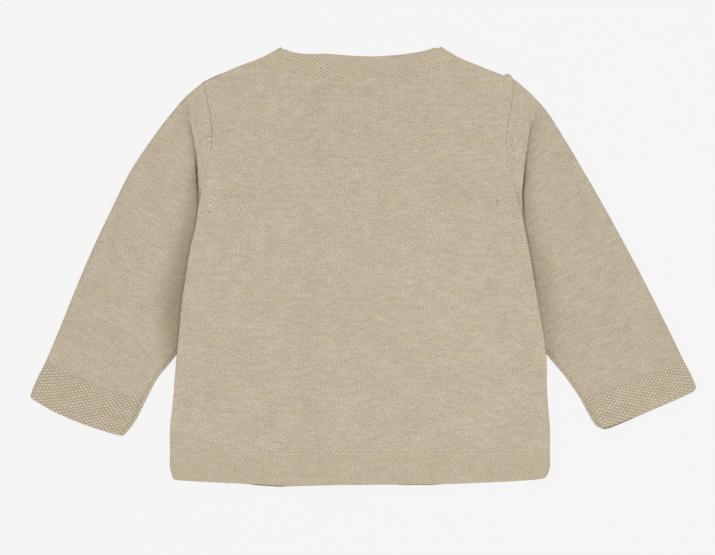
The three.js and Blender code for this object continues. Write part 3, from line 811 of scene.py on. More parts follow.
def noise(tree, vector, cell_x, cell_y, detail=2.0, roughness=0.5):
    """A noise whose cells have a given size, in millimetres, on the pattern map."""
    mapping = tree.nodes.new("ShaderNodeMapping")
    mapping.inputs["Scale"].default_value = (1 / (cell_x * MM), 1 / (cell_y * MM), 1.0)
    tree.links.new(vector, mapping.inputs["Vector"])
    texture = tree.nodes.new("ShaderNodeTexNoise")
    texture.inputs["Scale"].default_value = 1.0
    texture.inputs["Detail"].default_value = detail
    texture.inputs["Roughness"].default_value = roughness
    tree.links.new(mapping.outputs[0], texture.inputs["Vector"])
    return texture


print("pull of more light on red, green and blue:", LIGHT_PULL)

# %% The heather group
MOTTLE = {"cell": (9.0, 3.2), "detail": 3.0, "roughness": 0.6, "weight": 0.42}
CLOUD = {"cell": (26.0, 18.0), "weight": 0.16}
SPECK = {"cell": (1.0, 0.85), "detail": 1.0, "weight": 1.1}
TINT = {"cell": (17.0, 7.0), "detail": 1.0}
YELLOWER = (1.0, 0.998, 0.9, 1)
BLUER = (1.0, 1.002, 1.1, 1)
NOISE_MIDDLE = 0.5


def heather_group():
    """Colour of the yarn over a pattern map in metres. Its spread is 1 in plain knit."""
    group, start, stop = new_group(
        "Heather yarn",
        [
            ("Map", "NodeSocketVector", None),
            ("Yarn", "NodeSocketColor", None),
            ("Spread", "NodeSocketFloat", 1.0),
        ],
        [("Colour", "NodeSocketColor"), ("Fibre", "NodeSocketFloat")],
    )
    at = start.outputs["Map"]
    mottle = noise(group, at, *MOTTLE["cell"], MOTTLE["detail"], MOTTLE["roughness"]).outputs[0]
    cloud = noise(group, at, *CLOUD["cell"]).outputs[0]
    speck = noise(group, at, *SPECK["cell"], SPECK["detail"]).outputs[0]
    parts = ((mottle, MOTTLE), (cloud, CLOUD), (speck, SPECK))
    tone = weighted(group, *((part, facts["weight"], NOISE_MIDDLE) for part, facts in parts))
    spread = start.outputs["Spread"]
    light = light_of(group, calc(group, "MULTIPLY_ADD", tone, spread, 1.0))
    drift = noise(group, at, *TINT["cell"], TINT["detail"]).outputs[0]
    drift = calc(group, "SUBTRACT", drift, NOISE_MIDDLE)
    side = calc(group, "MULTIPLY_ADD", drift, spread, NOISE_MIDDLE)
    tint = mix_colour(group, side, YELLOWER, BLUER)
    toned = mix_colour(group, 1.0, start.outputs["Yarn"], light, "MULTIPLY")
    toned = mix_colour(group, 1.0, toned, tint, "MULTIPLY")
    group.links.new(toned, stop.inputs["Colour"])
    group.links.new(speck, stop.inputs["Fibre"])
    return group


HEATHER = heather_group()
print("group:", HEATHER.name)

# %% [markdown]
# ## The two stitches as shader groups
#
# Plain knitting is columns of little Vs. A V is two slanting legs, so the height falls into a
# groove between columns, and along a leg it rises and falls once for each row. Moss stitch is
# the product of cosines from above. Hand and machine knits are never quite even, so a slow
# noise first pushes the map about by a part of a stitch.

# %% The stockinette group
STITCH = 1.75
ROW = 1.3
PLAIN_SWAY = {"push": 3.0, "cell": 8.0}
PLAIN_SHADE_CONTRAST = 0.10
LEG_SLANT = 0.75
LEG, BULGE, GROOVE = 0.22, 0.5, -0.45
GROOVE_SHARPNESS = 3.0
WALE_SWAY = {"push": 1.2, "cell": 20.0}
WALE_SHADE_CONTRAST = 0.075
WALE_PATCH = {"cell": (42.0, 34.0), "detail": 1.0, "gain": 4.0, "start": -1.7}
WALE_TOP = {"from": 60, "to": 110}


def wandering(group, at, push, cell):
    """The pattern map, pushed about by a slow noise, as its two parts."""
    drift = noise(group, at, cell, cell)
    split_noise = group.nodes.new("ShaderNodeSeparateColor")
    group.links.new(drift.outputs["Color"], split_noise.inputs[0])
    split = group.nodes.new("ShaderNodeSeparateXYZ")
    group.links.new(at, split.inputs[0])
    parts = []
    for place, pushed in zip(split.outputs[:2], split_noise.outputs[:2]):
        shift = calc(group, "SUBTRACT", pushed, NOISE_MIDDLE)
        shift = calc(group, "MULTIPLY", shift, push * MM)
        parts.append(calc(group, "ADD", place, shift))
    return parts


def wales(group, at):
    """Painted light and shade of the columns of stitches, plain to see in patches and near the top.
    """
    across, up = wandering(group, at, **WALE_SWAY)
    wave = calc(group, "COSINE", calc(group, "MULTIPLY", across, 2 * np.pi / (STITCH * MM)))
    patches = noise(group, at, *WALE_PATCH["cell"], WALE_PATCH["detail"]).outputs[0]
    patches = calc(group, "MULTIPLY_ADD", patches, WALE_PATCH["gain"], WALE_PATCH["start"])
    above = calc(group, "SUBTRACT", up, WALE_TOP["from"] * MM)
    near_top = calc(group, "MULTIPLY", above, 1 / ((WALE_TOP["to"] - WALE_TOP["from"]) * MM))
    seen = calc(group, "ADD", patches, calc(group, "MAXIMUM", near_top, 0.0))
    seen = calc(group, "MINIMUM", calc(group, "MAXIMUM", seen, 0.0), 1.0)
    return calc(group, "MULTIPLY", calc(group, "MULTIPLY", wave, seen), WALE_SHADE_CONTRAST)


def stockinette_group():
    """Relief of plain knitting over a pattern map in metres, with painted shade in its grooves."""
    group, start, stop = new_group(
        "Stockinette",
        [("Map", "NodeSocketVector", None)],
        [("Height", "NodeSocketFloat"), ("Tone", "NodeSocketFloat")],
    )
    across, up = wandering(group, start.outputs["Map"], **PLAIN_SWAY)
    columns = wales(group, start.outputs["Map"])
    across = calc(group, "MULTIPLY", across, 1 / (STITCH * MM))
    part = calc(group, "SUBTRACT", calc(group, "FRACT", across), 0.5)
    from_middle = calc(group, "MULTIPLY", calc(group, "ABSOLUTE", part), 2.0)
    rows = calc(group, "MULTIPLY", up, 1 / (ROW * MM))
    slant = calc(group, "SUBTRACT", rows, calc(group, "MULTIPLY", from_middle, LEG_SLANT))
    leg = calc(group, "SINE", calc(group, "MULTIPLY", slant, 2 * np.pi))
    bulge = calc(group, "SINE", calc(group, "MULTIPLY", from_middle, np.pi))
    groove = calc(group, "POWER", from_middle, GROOVE_SHARPNESS)
    height = weighted(group, (leg, LEG, 0.0), (bulge, BULGE, 0.0), (groove, GROOVE, 0.0))
    group.links.new(calc(group, "ADD", height, 0.5), stop.inputs["Height"])
    # The tone is painted shade and light: darker in the grooves, lighter on the raised legs.
    tone = calc(group, "MULTIPLY_ADD", height, PLAIN_SHADE_CONTRAST, columns)
    group.links.new(tone, stop.inputs["Tone"])
    return group


STOCKINETTE = stockinette_group()
print("group:", STOCKINETTE.name)

# %% The moss group
MOSS_SWAY = {"push": 0.8, "cell": 9.0}
MOSS_SHADE_CONTRAST = 0.73
GRAIN, MOSS_WALE = 0.45, 0.12


def moss_group():
    """Grains of moss stitch over a pattern map in metres, with painted shade in their hollows."""
    group, start, stop = new_group(
        "Moss stitch",
        [("Map", "NodeSocketVector", None)],
        [("Height", "NodeSocketFloat"), ("Tone", "NodeSocketFloat")],
    )
    across, up = wandering(group, start.outputs["Map"], **MOSS_SWAY)
    turn = calc(group, "MULTIPLY", across, np.pi / (MOSS_STITCH * MM))
    rise = calc(group, "MULTIPLY", up, np.pi / (MOSS_ROW * MM))
    product = calc(group, "MULTIPLY", calc(group, "COSINE", turn), calc(group, "COSINE", rise))
    wale = calc(group, "COSINE", calc(group, "MULTIPLY", turn, 2.0))
    grain = weighted(group, (product, GRAIN, 0.0), (wale, MOSS_WALE, 0.0))
    group.links.new(calc(group, "ADD", grain, 0.5), stop.inputs["Height"])
    # The tone is painted shade and light: darker in the hollows, lighter on the grains.
    group.links.new(calc(group, "MULTIPLY", grain, MOSS_SHADE_CONTRAST), stop.inputs["Tone"])
    return group


MOSS_STITCHES = moss_group()
print("group:", MOSS_STITCHES.name)

# %% [markdown]
# ## The knit materials
#
# Both knits share the yarn. In moss stitch it is a little darker, as painted shade of the deeper
# stitches, and more even. The Principled shader stays in each material, with a high roughness
# and a little sheen for the fuzz of cotton. The notes of light on the points darken the colour
# here, and the tone of each stitch group paints shade into its hollows.

# %% Knit materials
PLAIN_YARN = (0.559, 0.479, 0.355, 1)
# The moss yarn is the plain yarn made a little darker, as painted shade of its deeper stitches.
MOSS_YARN = (0.551, 0.473, 0.345, 1)
MOSS_SPREAD = 0.75
PLAIN_SPREAD = 1.0
PLAIN_DEPTH = 0.16
MOSS_DEPTH = 0.2
FUZZ = 0.5
COTTON = {
    "Roughness": 0.92,
    "Sheen Weight": 0.12,
    "Sheen Roughness": 0.5,
    "Specular IOR Level": 0.25,
}


def place_group(tree, group):
    node = tree.nodes.new("ShaderNodeGroup")
    node.node_tree = group
    return node


def noted(tree, label):
    """A share kept on the points, 0 on pieces without it."""
    node = tree.nodes.new("ShaderNodeAttribute")
    node.attribute_name = label
    return node.outputs["Fac"]


def knit_material(name, yarn, spread, stitches, depth):
    """A knit of heather yarn: a stitch group gives its relief and the painted shade of its hollows.
    """
    material = bpy.data.materials.new(name)
    material.use_nodes = True
    tree = material.node_tree
    shader = tree.nodes["Principled BSDF"]
    for label, value in COTTON.items():
        shader.inputs[label].default_value = value
    pattern = tree.nodes.new("ShaderNodeUVMap")
    pattern.uv_map = "Pattern"
    heather, stitch = place_group(tree, HEATHER), place_group(tree, stitches)
    heather.inputs["Yarn"].default_value = yarn
    heather.inputs["Spread"].default_value = spread
    for node in (heather, stitch):
        tree.links.new(pattern.outputs[0], node.inputs["Map"])
    # Painted shade: the stitch group's tone and the shade noted on the points multiply the colour.
    kept = calc(tree, "SUBTRACT", 1.0, noted(tree, "smoothed"))
    hollow = calc(tree, "MULTIPLY_ADD", stitch.outputs["Tone"], kept, 1.0)
    light = calc(tree, "MULTIPLY", hollow, calc(tree, "SUBTRACT", 1.0, noted(tree, "shade")))
    colour = mix_colour(tree, 1.0, heather.outputs["Colour"], light_of(tree, light), "MULTIPLY")
    tree.links.new(colour, shader.inputs["Base Color"])
    bump = tree.nodes.new("ShaderNodeBump")
    bump.inputs["Distance"].default_value = depth * MM
    fuzz = calc(tree, "MULTIPLY_ADD", heather.outputs["Fibre"], FUZZ, stitch.outputs["Height"])
    tree.links.new(fuzz, bump.inputs["Height"])
    tree.links.new(bump.outputs[0], shader.inputs["Normal"])
    return material


PLAIN = knit_material("Plain knit", PLAIN_YARN, PLAIN_SPREAD, STOCKINETTE, PLAIN_DEPTH)
MOSS_KNIT = knit_material("Moss knit", MOSS_YARN, MOSS_SPREAD, MOSS_STITCHES, MOSS_DEPTH)
print("materials:", PLAIN.name, MOSS_KNIT.name)

# %% [markdown]
# ## A wall of cloth
#
# A panel that lies flat is a wall between its underside, which is a height function, and its
# face, which is the same raised by the cloth's thickness. Cloth smoothed by hand keeps soft
# dents, and a few slow waves of different lengths, multiplied together, stand for them well,
# because they never repeat in step.

# %% The wall and its dents
BROAD_DENT = {"height": 0.10, "across": 31, "bend": 1.3, "bend_length": 47, "up": 39, "start": 0.8}
FINE_DENT = {"height": 0.05, "across": 13, "lean": 29, "start": 2.0, "up": 17, "drift": 41}


def unevenness(x, y):
    """Soft dents of smoothed cloth, in millimetres."""
    wide, small = BROAD_DENT, FINE_DENT
    bent = x / wide["across"] + wide["bend"] * np.sin(y / wide["bend_length"])
    broad = np.sin(bent) * np.sin(y / wide["up"] + wide["start"])
    leaning = x / small["across"] - y / small["lean"] + small["start"]
    fine = np.sin(leaning) * np.sin(y / small["up"] + x / small["drift"])
    return wide["height"] * broad + small["height"] * fine


def upright(x, y, u, v):
    """A map with level rows and upright columns of stitches."""
    return np.stack([x, y], axis=1)


def wall_place(plan, grid, under, thick, rims=FREE_RIMS, relief=None, mapping=None):
    """Lays a slab between a height function and the same raised by the cloth's thickness."""
    width = span(plan, (0, 0.5), (1, 0.5))
    length = span(plan, (0.5, 0), (0.5, 1))

    def place(u, v, w):
        u, v = crowded(u, grid[0], width), crowded(v, grid[1], length)
        x, y = plan(u, v).T
        across, up = u * width, v * length
        measure = np.stack([across, up], axis=1) if mapping is None else mapping(x, y, u, v)
        inside = (across, width - across, up, length - up)
        radii = [rim(x, y) if callable(rim) else rim for rim in rims]
        low = under(x, y)
        top = low + thick - rim_fall(inside, radii)
        if relief is not None:
            top = top + relief(x, y, *measure.T)
        return np.stack([x, y, np.where(w > 0.5, top, low)], axis=1), measure

    return place


print("dent at the back's middle, mm:", unevenness(0, 0))

# %% [markdown]
# ## The back
#
# The back is the panel that shows most. Its outline runs from the hem seam up the side seam,
# round the armhole, along the shoulder and across the neck. Its stitches stay level and
# upright, so its map is its own plan. Free edges round over, and edges that are knitted on to
# the next piece hardly do, so that the two faces meet.

# %% Lay the back
BACK_GRID = (150, 160)
SIDE_SHARE = 14 / 22
SHOULDER_SHARE = 5 / 24
NECK_SHARE = 14 / 19
ARMHOLE_RIM = table(
    ("y", "radius"), (27, RIM_RADIUS), (34, JOIN_RADIUS), (84, JOIN_RADIUS), (98, 0.5)
)
HEAD_RIM = table(
    ("x", "radius"), (-80, RIM_RADIUS), (-73, JOIN_RADIUS), (69, JOIN_RADIUS), (76, RIM_RADIUS)
)


def seam_end(way):
    """The right shoulder edge with the small hump at its tip."""

    def point(t):
        p = np.array(way(t))
        off = (p[..., 0] - SEAM_END["x"]) / SEAM_END["half"]
        p[..., 1] += SEAM_END["height"] * np.maximum(0, 1 - off * off) ** 2
        return p

    return point


def armhole_rim(x, y):
    return np.interp(y, ARMHOLE_RIM["y"], ARMHOLE_RIM["radius"])


def head_rim(x, y):
    return np.interp(x, HEAD_RIM["x"], HEAD_RIM["radius"])


body_left = joined(edge(SIDE_LEFT), SIDE_SHARE, edge(ARMHOLE["left"]))
body_right = joined(edge(SIDE_RIGHT), SIDE_SHARE, edge(ARMHOLE["right"]))
hem_seam = straight((SIDE_LEFT["x"][0], HEM_SEAM_Y), (SIDE_RIGHT["x"][0], HEM_SEAM_Y))
right_shoulder = flipped(seam_end(edge(SHOULDER_RIGHT)))
back_neck = joined(edge(NECK_SEAM_BACK), NECK_SHARE, right_shoulder)
back_head = joined(edge(SHOULDER_LEFT), SHOULDER_SHARE, back_neck)
back_plan = patch(hem_seam, back_head, body_left, body_right)
finish_piece(
    slab(*BACK_GRID),
    "back_knit",
    wall_place(
        back_plan,
        BACK_GRID,
        back_under,
        CLOTH,
        rims=(armhole_rim, armhole_rim, JOIN_RADIUS, head_rim),
        relief=lambda x, y, across, up: unevenness(x, y),
        mapping=upright,
    ),
    PLAIN,
    "back",
    "plain_knit",
    shade=back_shade,
)

# %% [markdown]
# ## The fronts
#
# The fronts are mostly hidden, so they are plain. The left one rises near the middle, where
# its band lies over the other one.

# %% Lay the fronts
FRONT_GRID = (54, 100)
FRONT_SHOULDER_SHARE = 4 / 11
FRONT_RIMS = (0.8, 0.8, JOIN_RADIUS, 0.8)


def share_at(way, x):
    """The share of an edge at which it reaches x."""
    shares = np.linspace(0, 1, 10 * CURVE_SAMPLES)
    return float(shares[np.argmin(np.abs(way(shares)[:, 0] - x))])


def front_plan(side):
    left = side == "left"
    sign = -1 if left else 1
    edges = placket_edges(np.array([HEM_SEAM_Y, BAND_HEAD_Y]))[0 if left else 1] + sign * SEAM_GAP
    seam = moved(edge(NECK_SEAM_FRONT, side), sign * 2 * SEAM_GAP, -2 * SEAM_GAP)
    neck = stretch(seam, 0, share_at(seam, edges[1]))
    rows = SHOULDER_LEFT if left else SHOULDER_RIGHT
    corner = neck(0.0)
    trimmed = {"x": np.append(rows["x"][:-1], corner[0]), "y": np.append(rows["y"][:-1], corner[1])}
    head = joined(edge(trimmed), FRONT_SHOULDER_SHARE, neck)
    outer = body_left if left else body_right
    foot = straight(outer(0.0), (edges[0], HEM_SEAM_Y))
    centre = straight(foot(1.0), head(1.0))
    if left:
        return patch(foot, head, outer, centre)
    return patch(flipped(foot), flipped(head), centre, outer)


for side in ("left", "right"):
    finish_piece(
        slab(*FRONT_GRID),
        f"front_{side}_knit",
        wall_place(
            front_plan(side), FRONT_GRID, FRONT_UNDER[side], CLOTH, FRONT_RIMS, mapping=upright
        ),
        PLAIN,
        f"front_{side}",
        "plain_knit",
    )

# %% [markdown]
# ## A flattened tube
#
# A sleeve is a tube pressed flat. Its slab is wrapped round: half of u goes across the top
# from the outer edge to the underarm edge, and the other half comes back underneath. The
# two ends of the wrap meet at the outer edge and are welded there, so the slab gives up its
# two side walls first. Lines crowd at both edges, where the tube turns.

# %% Lay a flattened tube
TUBE_RIM_STEPS = (0, 0.15, 0.5, 1.1, 1.8, 2.25, 2.7, 3.15, 3.8)
THINNEST_HOLLOW = 0.04
AT_EDGE = 1e-6


def tube_slab(around, length):
    """A slab whose two side walls are taken away, so that it can close into a tube."""
    bm = slab(around, length)
    ends = [f for f in bm.faces if all(v.co.x < AT_EDGE for v in f.verts)]
    ends += [f for f in bm.faces if all(v.co.x > 1 - AT_EDGE for v in f.verts)]
    bmesh.ops.delete(bm, geom=ends, context="FACES_ONLY")
    return bm


def tube_shares(u, around, width):
    """The distance from the outer edge for each share of the way round, and which are on top."""
    half = around // 2
    step = np.rint(u * around).astype(int)
    on_top = step <= half
    k = np.where(on_top, step, around - step)
    rim = np.array(TUBE_RIM_STEPS)
    inner = np.linspace(0, 1, half + 3 - 2 * len(rim))[1:-1]
    width = width[:, None]
    middle = rim[-1] + inner[None, :] * (width - 2 * rim[-1])
    lines = np.concatenate([rim + 0 * width, middle, width - rim[::-1]], axis=1)
    return lines[np.arange(len(k)), k], on_top


def tube_place(plan, grid, thick, top, relief=None, mapping=None, push=None):
    """Lays a tube slab, with w 0 inside the wall and 1 outside it."""
    length = span(plan, (0.5, 0), (0.5, 1))

    def place(u, v, w):
        width = np.linalg.norm(plan(0 * v + 1, v) - plan(0 * v, v), axis=1)
        d, on_top = tube_shares(u, grid[0], width)
        outside = w > 0.5
        inset = np.where(outside, 0, thick)
        shrunk = inset + d * (1 - 2 * inset / width)
        x, y = plan(shrunk / width, v).T
        half = top(x, y, d, width - d, v * length, (1 - v) * length) / 2
        t = np.clip(1 - np.minimum(d, width - d) / half, 0, 1)
        round_by = np.sqrt(1 - t * t)
        rise = np.maximum(half - inset, THINNEST_HOLLOW) * round_by
        around = np.stack([np.where(on_top, d, 2 * width - d), v * length], axis=1)
        measure = around if mapping is None else mapping(x, y, *around.T)
        if relief is not None:
            bump = relief(x, y, width - d, *measure.T)
            rise = rise + np.where(outside & on_top, bump, 0) * round_by
        if push is not None:
            x = x + np.where(on_top, push(x, y), 0)
        z = half + np.where(on_top, 1, -1) * rise
        return np.stack([x, y, z], axis=1), measure

    return place


print("lines at each edge of a tube:", len(TUBE_RIM_STEPS))

# %% [markdown]
# ## The sleeves
#
# Both sleeves are tubes from armhole to cuff seam. At the crease, where a sleeve turns under
# the body, the cloth makes a step with an overhanging lip. Between armhole and crease its
# columns of stitches run level, and beyond the crease they follow the arm, so each sleeve has
# two maps.

# %% Lay the sleeves
SLEEVE_GRID = (156, 190)
SLEEVE_WALL = 1.4
SLEEVE_TILT = {"left": -27, "right": 28}


def sleeve_plan(side):
    out = -JOIN if side == "left" else JOIN
    armhole = flipped(edge(ARMHOLE[side]))
    edges = (armhole, edge(CUFF_SEAM[side]), edge(SLEEVE_OUTER[side]), edge(SLEEVE_INNER[side]))
    return patch(*(moved(way, out, 0) for way in edges))


def underarm_groove(from_inner):
    """The sunk seam line beside a sleeve's underarm edge."""
    return -UNDERARM_SEAM["depth"] * bell(from_inner, UNDERARM_SEAM["inset"], UNDERARM_SEAM["half"])


def sleeve_relief(x, y, from_inner, *maps):
    return unevenness(x, y) + underarm_groove(from_inner)


def sleeve_maps(side):
    """Two maps: level lines between armhole and crease, and columns along the sleeve."""
    tilt = np.radians(SLEEVE_TILT[side])

    def mapping(x, y, across, up):
        level_lines = (y, np.abs(x))
        along_sleeve = (x * np.cos(tilt) + y * np.sin(tilt), y * np.cos(tilt) - x * np.sin(tilt))
        return np.column_stack([*level_lines, *along_sleeve, outside_crease(side, x, y)])

    return mapping


def crease_push(side):
    return lambda x, y: fold_shift(side, x, y)


for side in ("left", "right"):
    finish_piece(
        tube_slab(*SLEEVE_GRID),
        f"sleeve_{side}_knit",
        tube_place(
            sleeve_plan(side),
            SLEEVE_GRID,
            SLEEVE_WALL,
            sleeve_top(side),
            relief=sleeve_relief,
            mapping=sleeve_maps(side),
            push=crease_push(side),
        ),
        PLAIN,
        f"sleeve_{side}",
        "plain_knit",
        shade=sleeve_shade(side),
    )

# %% [markdown]
# ## Fashioning marks
#
# Where a panel narrows, the machine lifts some stitches over their neighbours. The lifted
# stitches slant and catch the light, and small holes open beside them. Each mark is a ball
# drawn out into a bead and laid on the uppermost piece at its place. A lifted stitch is painted
# lighter, as painted highlight, and a hole is a flat bead painted dark, as painted shade.

# %% Places of the marks
MARKS = table(
    ("x", "y", "turn", "length", "lost"),
    (-116, 99.7, 0, 4.2, -0.28), (-115.4, 97.6, 0, 4.1, -0.3), (-114.7, 94.4, 0, 2.8, -0.22),
    (-112.8, 100.2, 0, 1.2, 0.6), (-112.5, 96.3, 0, 1.4, 0.62), (-112.3, 92.2, 90, 1.5, 0.55),
    (-115, 96, 0, 1.6, 0.3), (-112.1, 86.8, 90, 1.2, 0.3), (-119.5, 88.6, 60, 1.6, -0.25),
    (-118, 86.8, 0, 1.6, -0.25), (-119.1, 85.3, 0, 1.5, -0.2), (-116.3, 87.1, 60, 1.1, 0.25),
    (-116.9, 70.3, 0, 0.9, 0.4), (-117.5, 67.7, 0, 0.9, 0.35), (-116.3, 65.7, 0, 1, 0.45),
    (-118.3, 65.2, 0, 0.8, 0.3), (-115.7, 69, 90, 0.9, 0.3), (-117.5, 69.1, 0, 0.9, -0.2),
    (-116.9, 64.2, 0, 1.3, -0.2), (-110.8, 76.4, 0, 0.9, 0.35), (-111.4, 51.2, -45, 2.4, -0.3),
    (-109.5, 49.8, -60, 2, -0.25), (-114.3, 46.7, -45, 1.4, -0.34), (-112.6, 44.8, -55, 2.2, -0.34),
    (-111, 42.4, -60, 2.2, -0.28), (-115.8, 49.5, 50, 1.8, -0.22), (-111.4, 46.8, -50, 1.8, -0.22),
    (-117.1, 40.1, 0, 1.4, -0.22), (-113.4, 47.2, 0, 0.9, 0.3), (-110.1, 45.7, 90, 1.2, 0.28),
    (-116.5, 42, 0, 1.1, 0.3), (-114, 40.1, 90, 1.1, 0.3), (-110.6, 48.3, 0, 0.8, 0.25),
    (107.6, 99.7, 15, 1.6, 0.5), (110.3, 94.3, 0, 1.8, 0.42), (109.7, 89.9, 90, 1.2, 0.4),
    (109.2, 101, 15, 1.6, -0.2), (106.4, 81, 30, 1.8, -0.22), (108.3, 82, 25, 1.8, -0.25),
    (110.1, 82.8, 15, 1.8, -0.28), (112, 84.7, -20, 1.6, -0.32), (114, 84.2, 0, 2.2, -0.34),
    (115.1, 85.8, 60, 1.8, -0.28), (116.2, 87, 45, 1.2, -0.2), (111.9, 80.1, 0, 1, 0.38),
    (112.7, 78.2, -50, 1.5, 0.42), (107.3, 73.6, 0, 1.1, 0.4), (112.8, 71.4, 0, 1.1, 0.38),
    (109.5, 64.6, 0, 1, 0.3), (99.4, 48.8, 90, 1.7, 0.55), (104, 50.4, 0, 0.8, 0.3),
    (105.7, 47.5, 0, 1.1, 0.42), (107.6, 49.1, 0, 1.1, 0.42), (109.5, 50.9, 0, 0.9, 0.3),
    (102, 46.9, 0, 1.5, -0.26), (104, 47.5, 20, 1.5, -0.28), (106.4, 48.6, 45, 1.5, -0.28),
    (108.5, 50.1, 45, 1.5, -0.24), (110.3, 52, 45, 1.4, -0.2), (111.9, 59.7, 0, 0.9, 0.3),
    (112, 56.8, 0, 0.9, 0.3), (112.5, 53.8, 0, 0.9, 0.3), (113.2, 50.9, 0, 0.9, 0.3),
    (113.8, 47.9, 0, 0.9, 0.3), (105.5, 41, 30, 1.8, -0.28), (107.4, 42, 50, 1.5, -0.28),
    (108.8, 43.2, 45, 1.6, -0.26), (110, 40.1, 45, 1.4, -0.2), (111.4, 35, 60, 1.5, -0.22),
    (106.8, 40.2, 0, 0.8, 0.25), (108.8, 41.5, 0, 0.8, 0.25), (111.6, 37.3, 0, 0.9, 0.3),
)
print("lifted stitches and holes:", (MARKS["lost"] < 0).sum(), (MARKS["lost"] > 0).sum())

# %% Lay the marks
MARK_WIDTH = 0.9
MARK_RISE = {"stitch": 0.12, "hole": 0.05}


def top_at(x, y, pieces):
    """The highest point of some pieces at a place in plan, and the way that it faces."""
    start = Vector((x * MM, y * MM, 1))
    hits = [piece.ray_cast(start, (0, 0, -1)) for piece in pieces]
    return max(((place, facing) for found, place, facing, _ in hits if found), key=height_of)


def height_of(hit):
    return hit[0].z


def add_mark(bm, x, y, turn, length, lost, pieces):
    """One bead, with the light that it loses kept on its points."""
    rise = MARK_RISE["hole"] if lost > 0 else MARK_RISE["stitch"]
    place, facing = top_at(x, y, pieces)
    lean = Vector((0, 0, 1)).rotation_difference(facing).to_matrix().to_4x4()
    size = Matrix.Diagonal((length / 2 * MM, MARK_WIDTH / 2 * MM, rise * MM, 1))
    turned = Matrix.Rotation(np.radians(turn), 4, "Z")
    matrix = Matrix.Translation(place) @ lean @ turned @ size
    added = bmesh.ops.create_icosphere(bm, subdivisions=2, radius=1, matrix=matrix)
    for vert in added["verts"]:
        # A negative share paints a lifted stitch lighter, a painted highlight; a positive one
        # paints a hole dark, a painted shade.
        vert[bm.verts.layers.float["shade"]] = lost
        for loop in vert.link_loops:
            loop[bm.loops.layers.uv["Pattern"]].uv = vert.co.xy


def marks_piece():
    pieces = [bpy.data.objects[f"{name}_knit"] for name in ("back", "sleeve_left", "sleeve_right")]
    bpy.context.view_layer.update()
    bm = bmesh.new()
    bm.verts.layers.float.new("shade")
    bm.loops.layers.uv.new("Pattern")
    for row in zip(*MARKS.values()):
        add_mark(bm, *map(float, row), pieces)
    mesh = bpy.data.meshes.new("fashioning_marks")
    bm.to_mesh(mesh)
    bm.free()
    mesh.polygons.foreach_set("use_smooth", np.ones(len(mesh.polygons), bool))
    mesh.materials.append(PLAIN)
    piece = bpy.data.objects.new(mesh.name, mesh)
    bpy.context.scene.collection.objects.link(piece)
    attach(piece, "root")
    print(f"{mesh.name}: {len(mesh.polygons)} triangles")


marks_piece()

# %% [markdown]
# ## The cuffs
#
# A cuff is the same kind of tube, shorter and in moss stitch. Its stitches are larger than
# those of the bands, so its map is drawn out to show the same pattern at a larger scale.

# %% Lay the cuffs
CUFF_GRID = (320, 66)
CUFF_STITCH = 1.98
CUFF_ROW = 1.33
CUFF_WALL = 1.7


def cuff_plan(side):
    sign = -1 if side == "left" else 1
    top = moved(edge(CUFF_SEAM[side]), sign * JOIN, -JOIN)
    foot = edge(CUFF_FOOT[side])
    sides = []
    for name, share in (("outer", 0.0), ("inner", 1.0)):
        points = np.array([top(share), CUFF_BEND[side][name], foot(share)])
        sides.append(edge({"x": points[:, 0], "y": points[:, 1]}))
    return patch(top, foot, *sides)


def large_stitches(x, y, across, up):
    return np.stack([across * MOSS_STITCH / CUFF_STITCH, up * MOSS_ROW / CUFF_ROW], axis=1)


def cuff_relief(x, y, from_inner, across, up):
    return MOSS_HEIGHT * (moss(across, up) - 1) + underarm_groove(from_inner)


def cuff_top(x, y, from_outer, from_inner, from_head, to_end):
    return CUFF_TOP + 0 * x


for side in ("left", "right"):
    finish_piece(
        tube_slab(*CUFF_GRID),
        f"cuff_{side}_knit",
        tube_place(
            cuff_plan(side), CUFF_GRID, CUFF_WALL, cuff_top, cuff_relief, mapping=large_stitches
        ),
        MOSS_KNIT,
        f"cuff_{side}",
        "moss_knit",
        shade=cuff_shade(side),
    )

# %% [markdown]
# ## The hem bands
#
# The hem is a band of moss stitch below the back and below each front. The two front hems
# show as slivers just under the back's, because a stack of cloth never lines up exactly.

# %% Lay the hems
BACK_HEM_GRID = (468, 50)
FRONT_HEM_GRID = (110, 16)
HEM_RIMS = (RIM_RADIUS, RIM_RADIUS, 0.9, JOIN_RADIUS)


def hem_side(side, corner):
    """The hem's side edge, from its rounded corner up to the hem seam."""
    x = HEM_SIDE[side]
    rows = {
        "x": np.array([corner[0], x, x]),
        "y": np.array([corner[1], HEM_SIDE["turn_y"], HEM_SEAM_Y - JOIN]),
    }
    return edge(rows)


def moss_relief(x, y, across, up):
    return MOSS_HEIGHT * (moss(across, up) - 1)


def back_hem_plan():
    foot = edge(HEM_FOOT)
    left, right = hem_side("left", foot(0.0)), hem_side("right", foot(1.0))
    return patch(foot, straight(left(1.0), right(1.0)), left, right)


def dipped(way, side):
    """A hem's foot, a little lower where a front hem shows."""

    def point(t):
        p = np.array(way(t))
        p[..., 1] -= HEM_DIP[side]["depth"] * dip_share(side, p[..., 0])
        return p

    return point


def front_hem_plan(side):
    left = side == "left"
    whole = edge(HEM_FOOT)
    sign = -1 if left else 1
    low, high = (
        placket_edges(y)[0 if left else 1] + sign * 2 * SEAM_GAP for y in (BAND_FOOT_Y, HEM_SEAM_Y)
    )
    stop = share_at(whole, low)
    foot = dipped(stretch(whole, 0, stop) if left else stretch(whole, stop, 1), side)
    outer = hem_side(side, foot(0.0 if left else 1.0))
    inner = straight(foot(1.0 if left else 0.0), (high, HEM_SEAM_Y - JOIN))
    near_side, far_side = (outer, inner) if left else (inner, outer)
    return patch(foot, straight(near_side(1.0), far_side(1.0)), near_side, far_side)


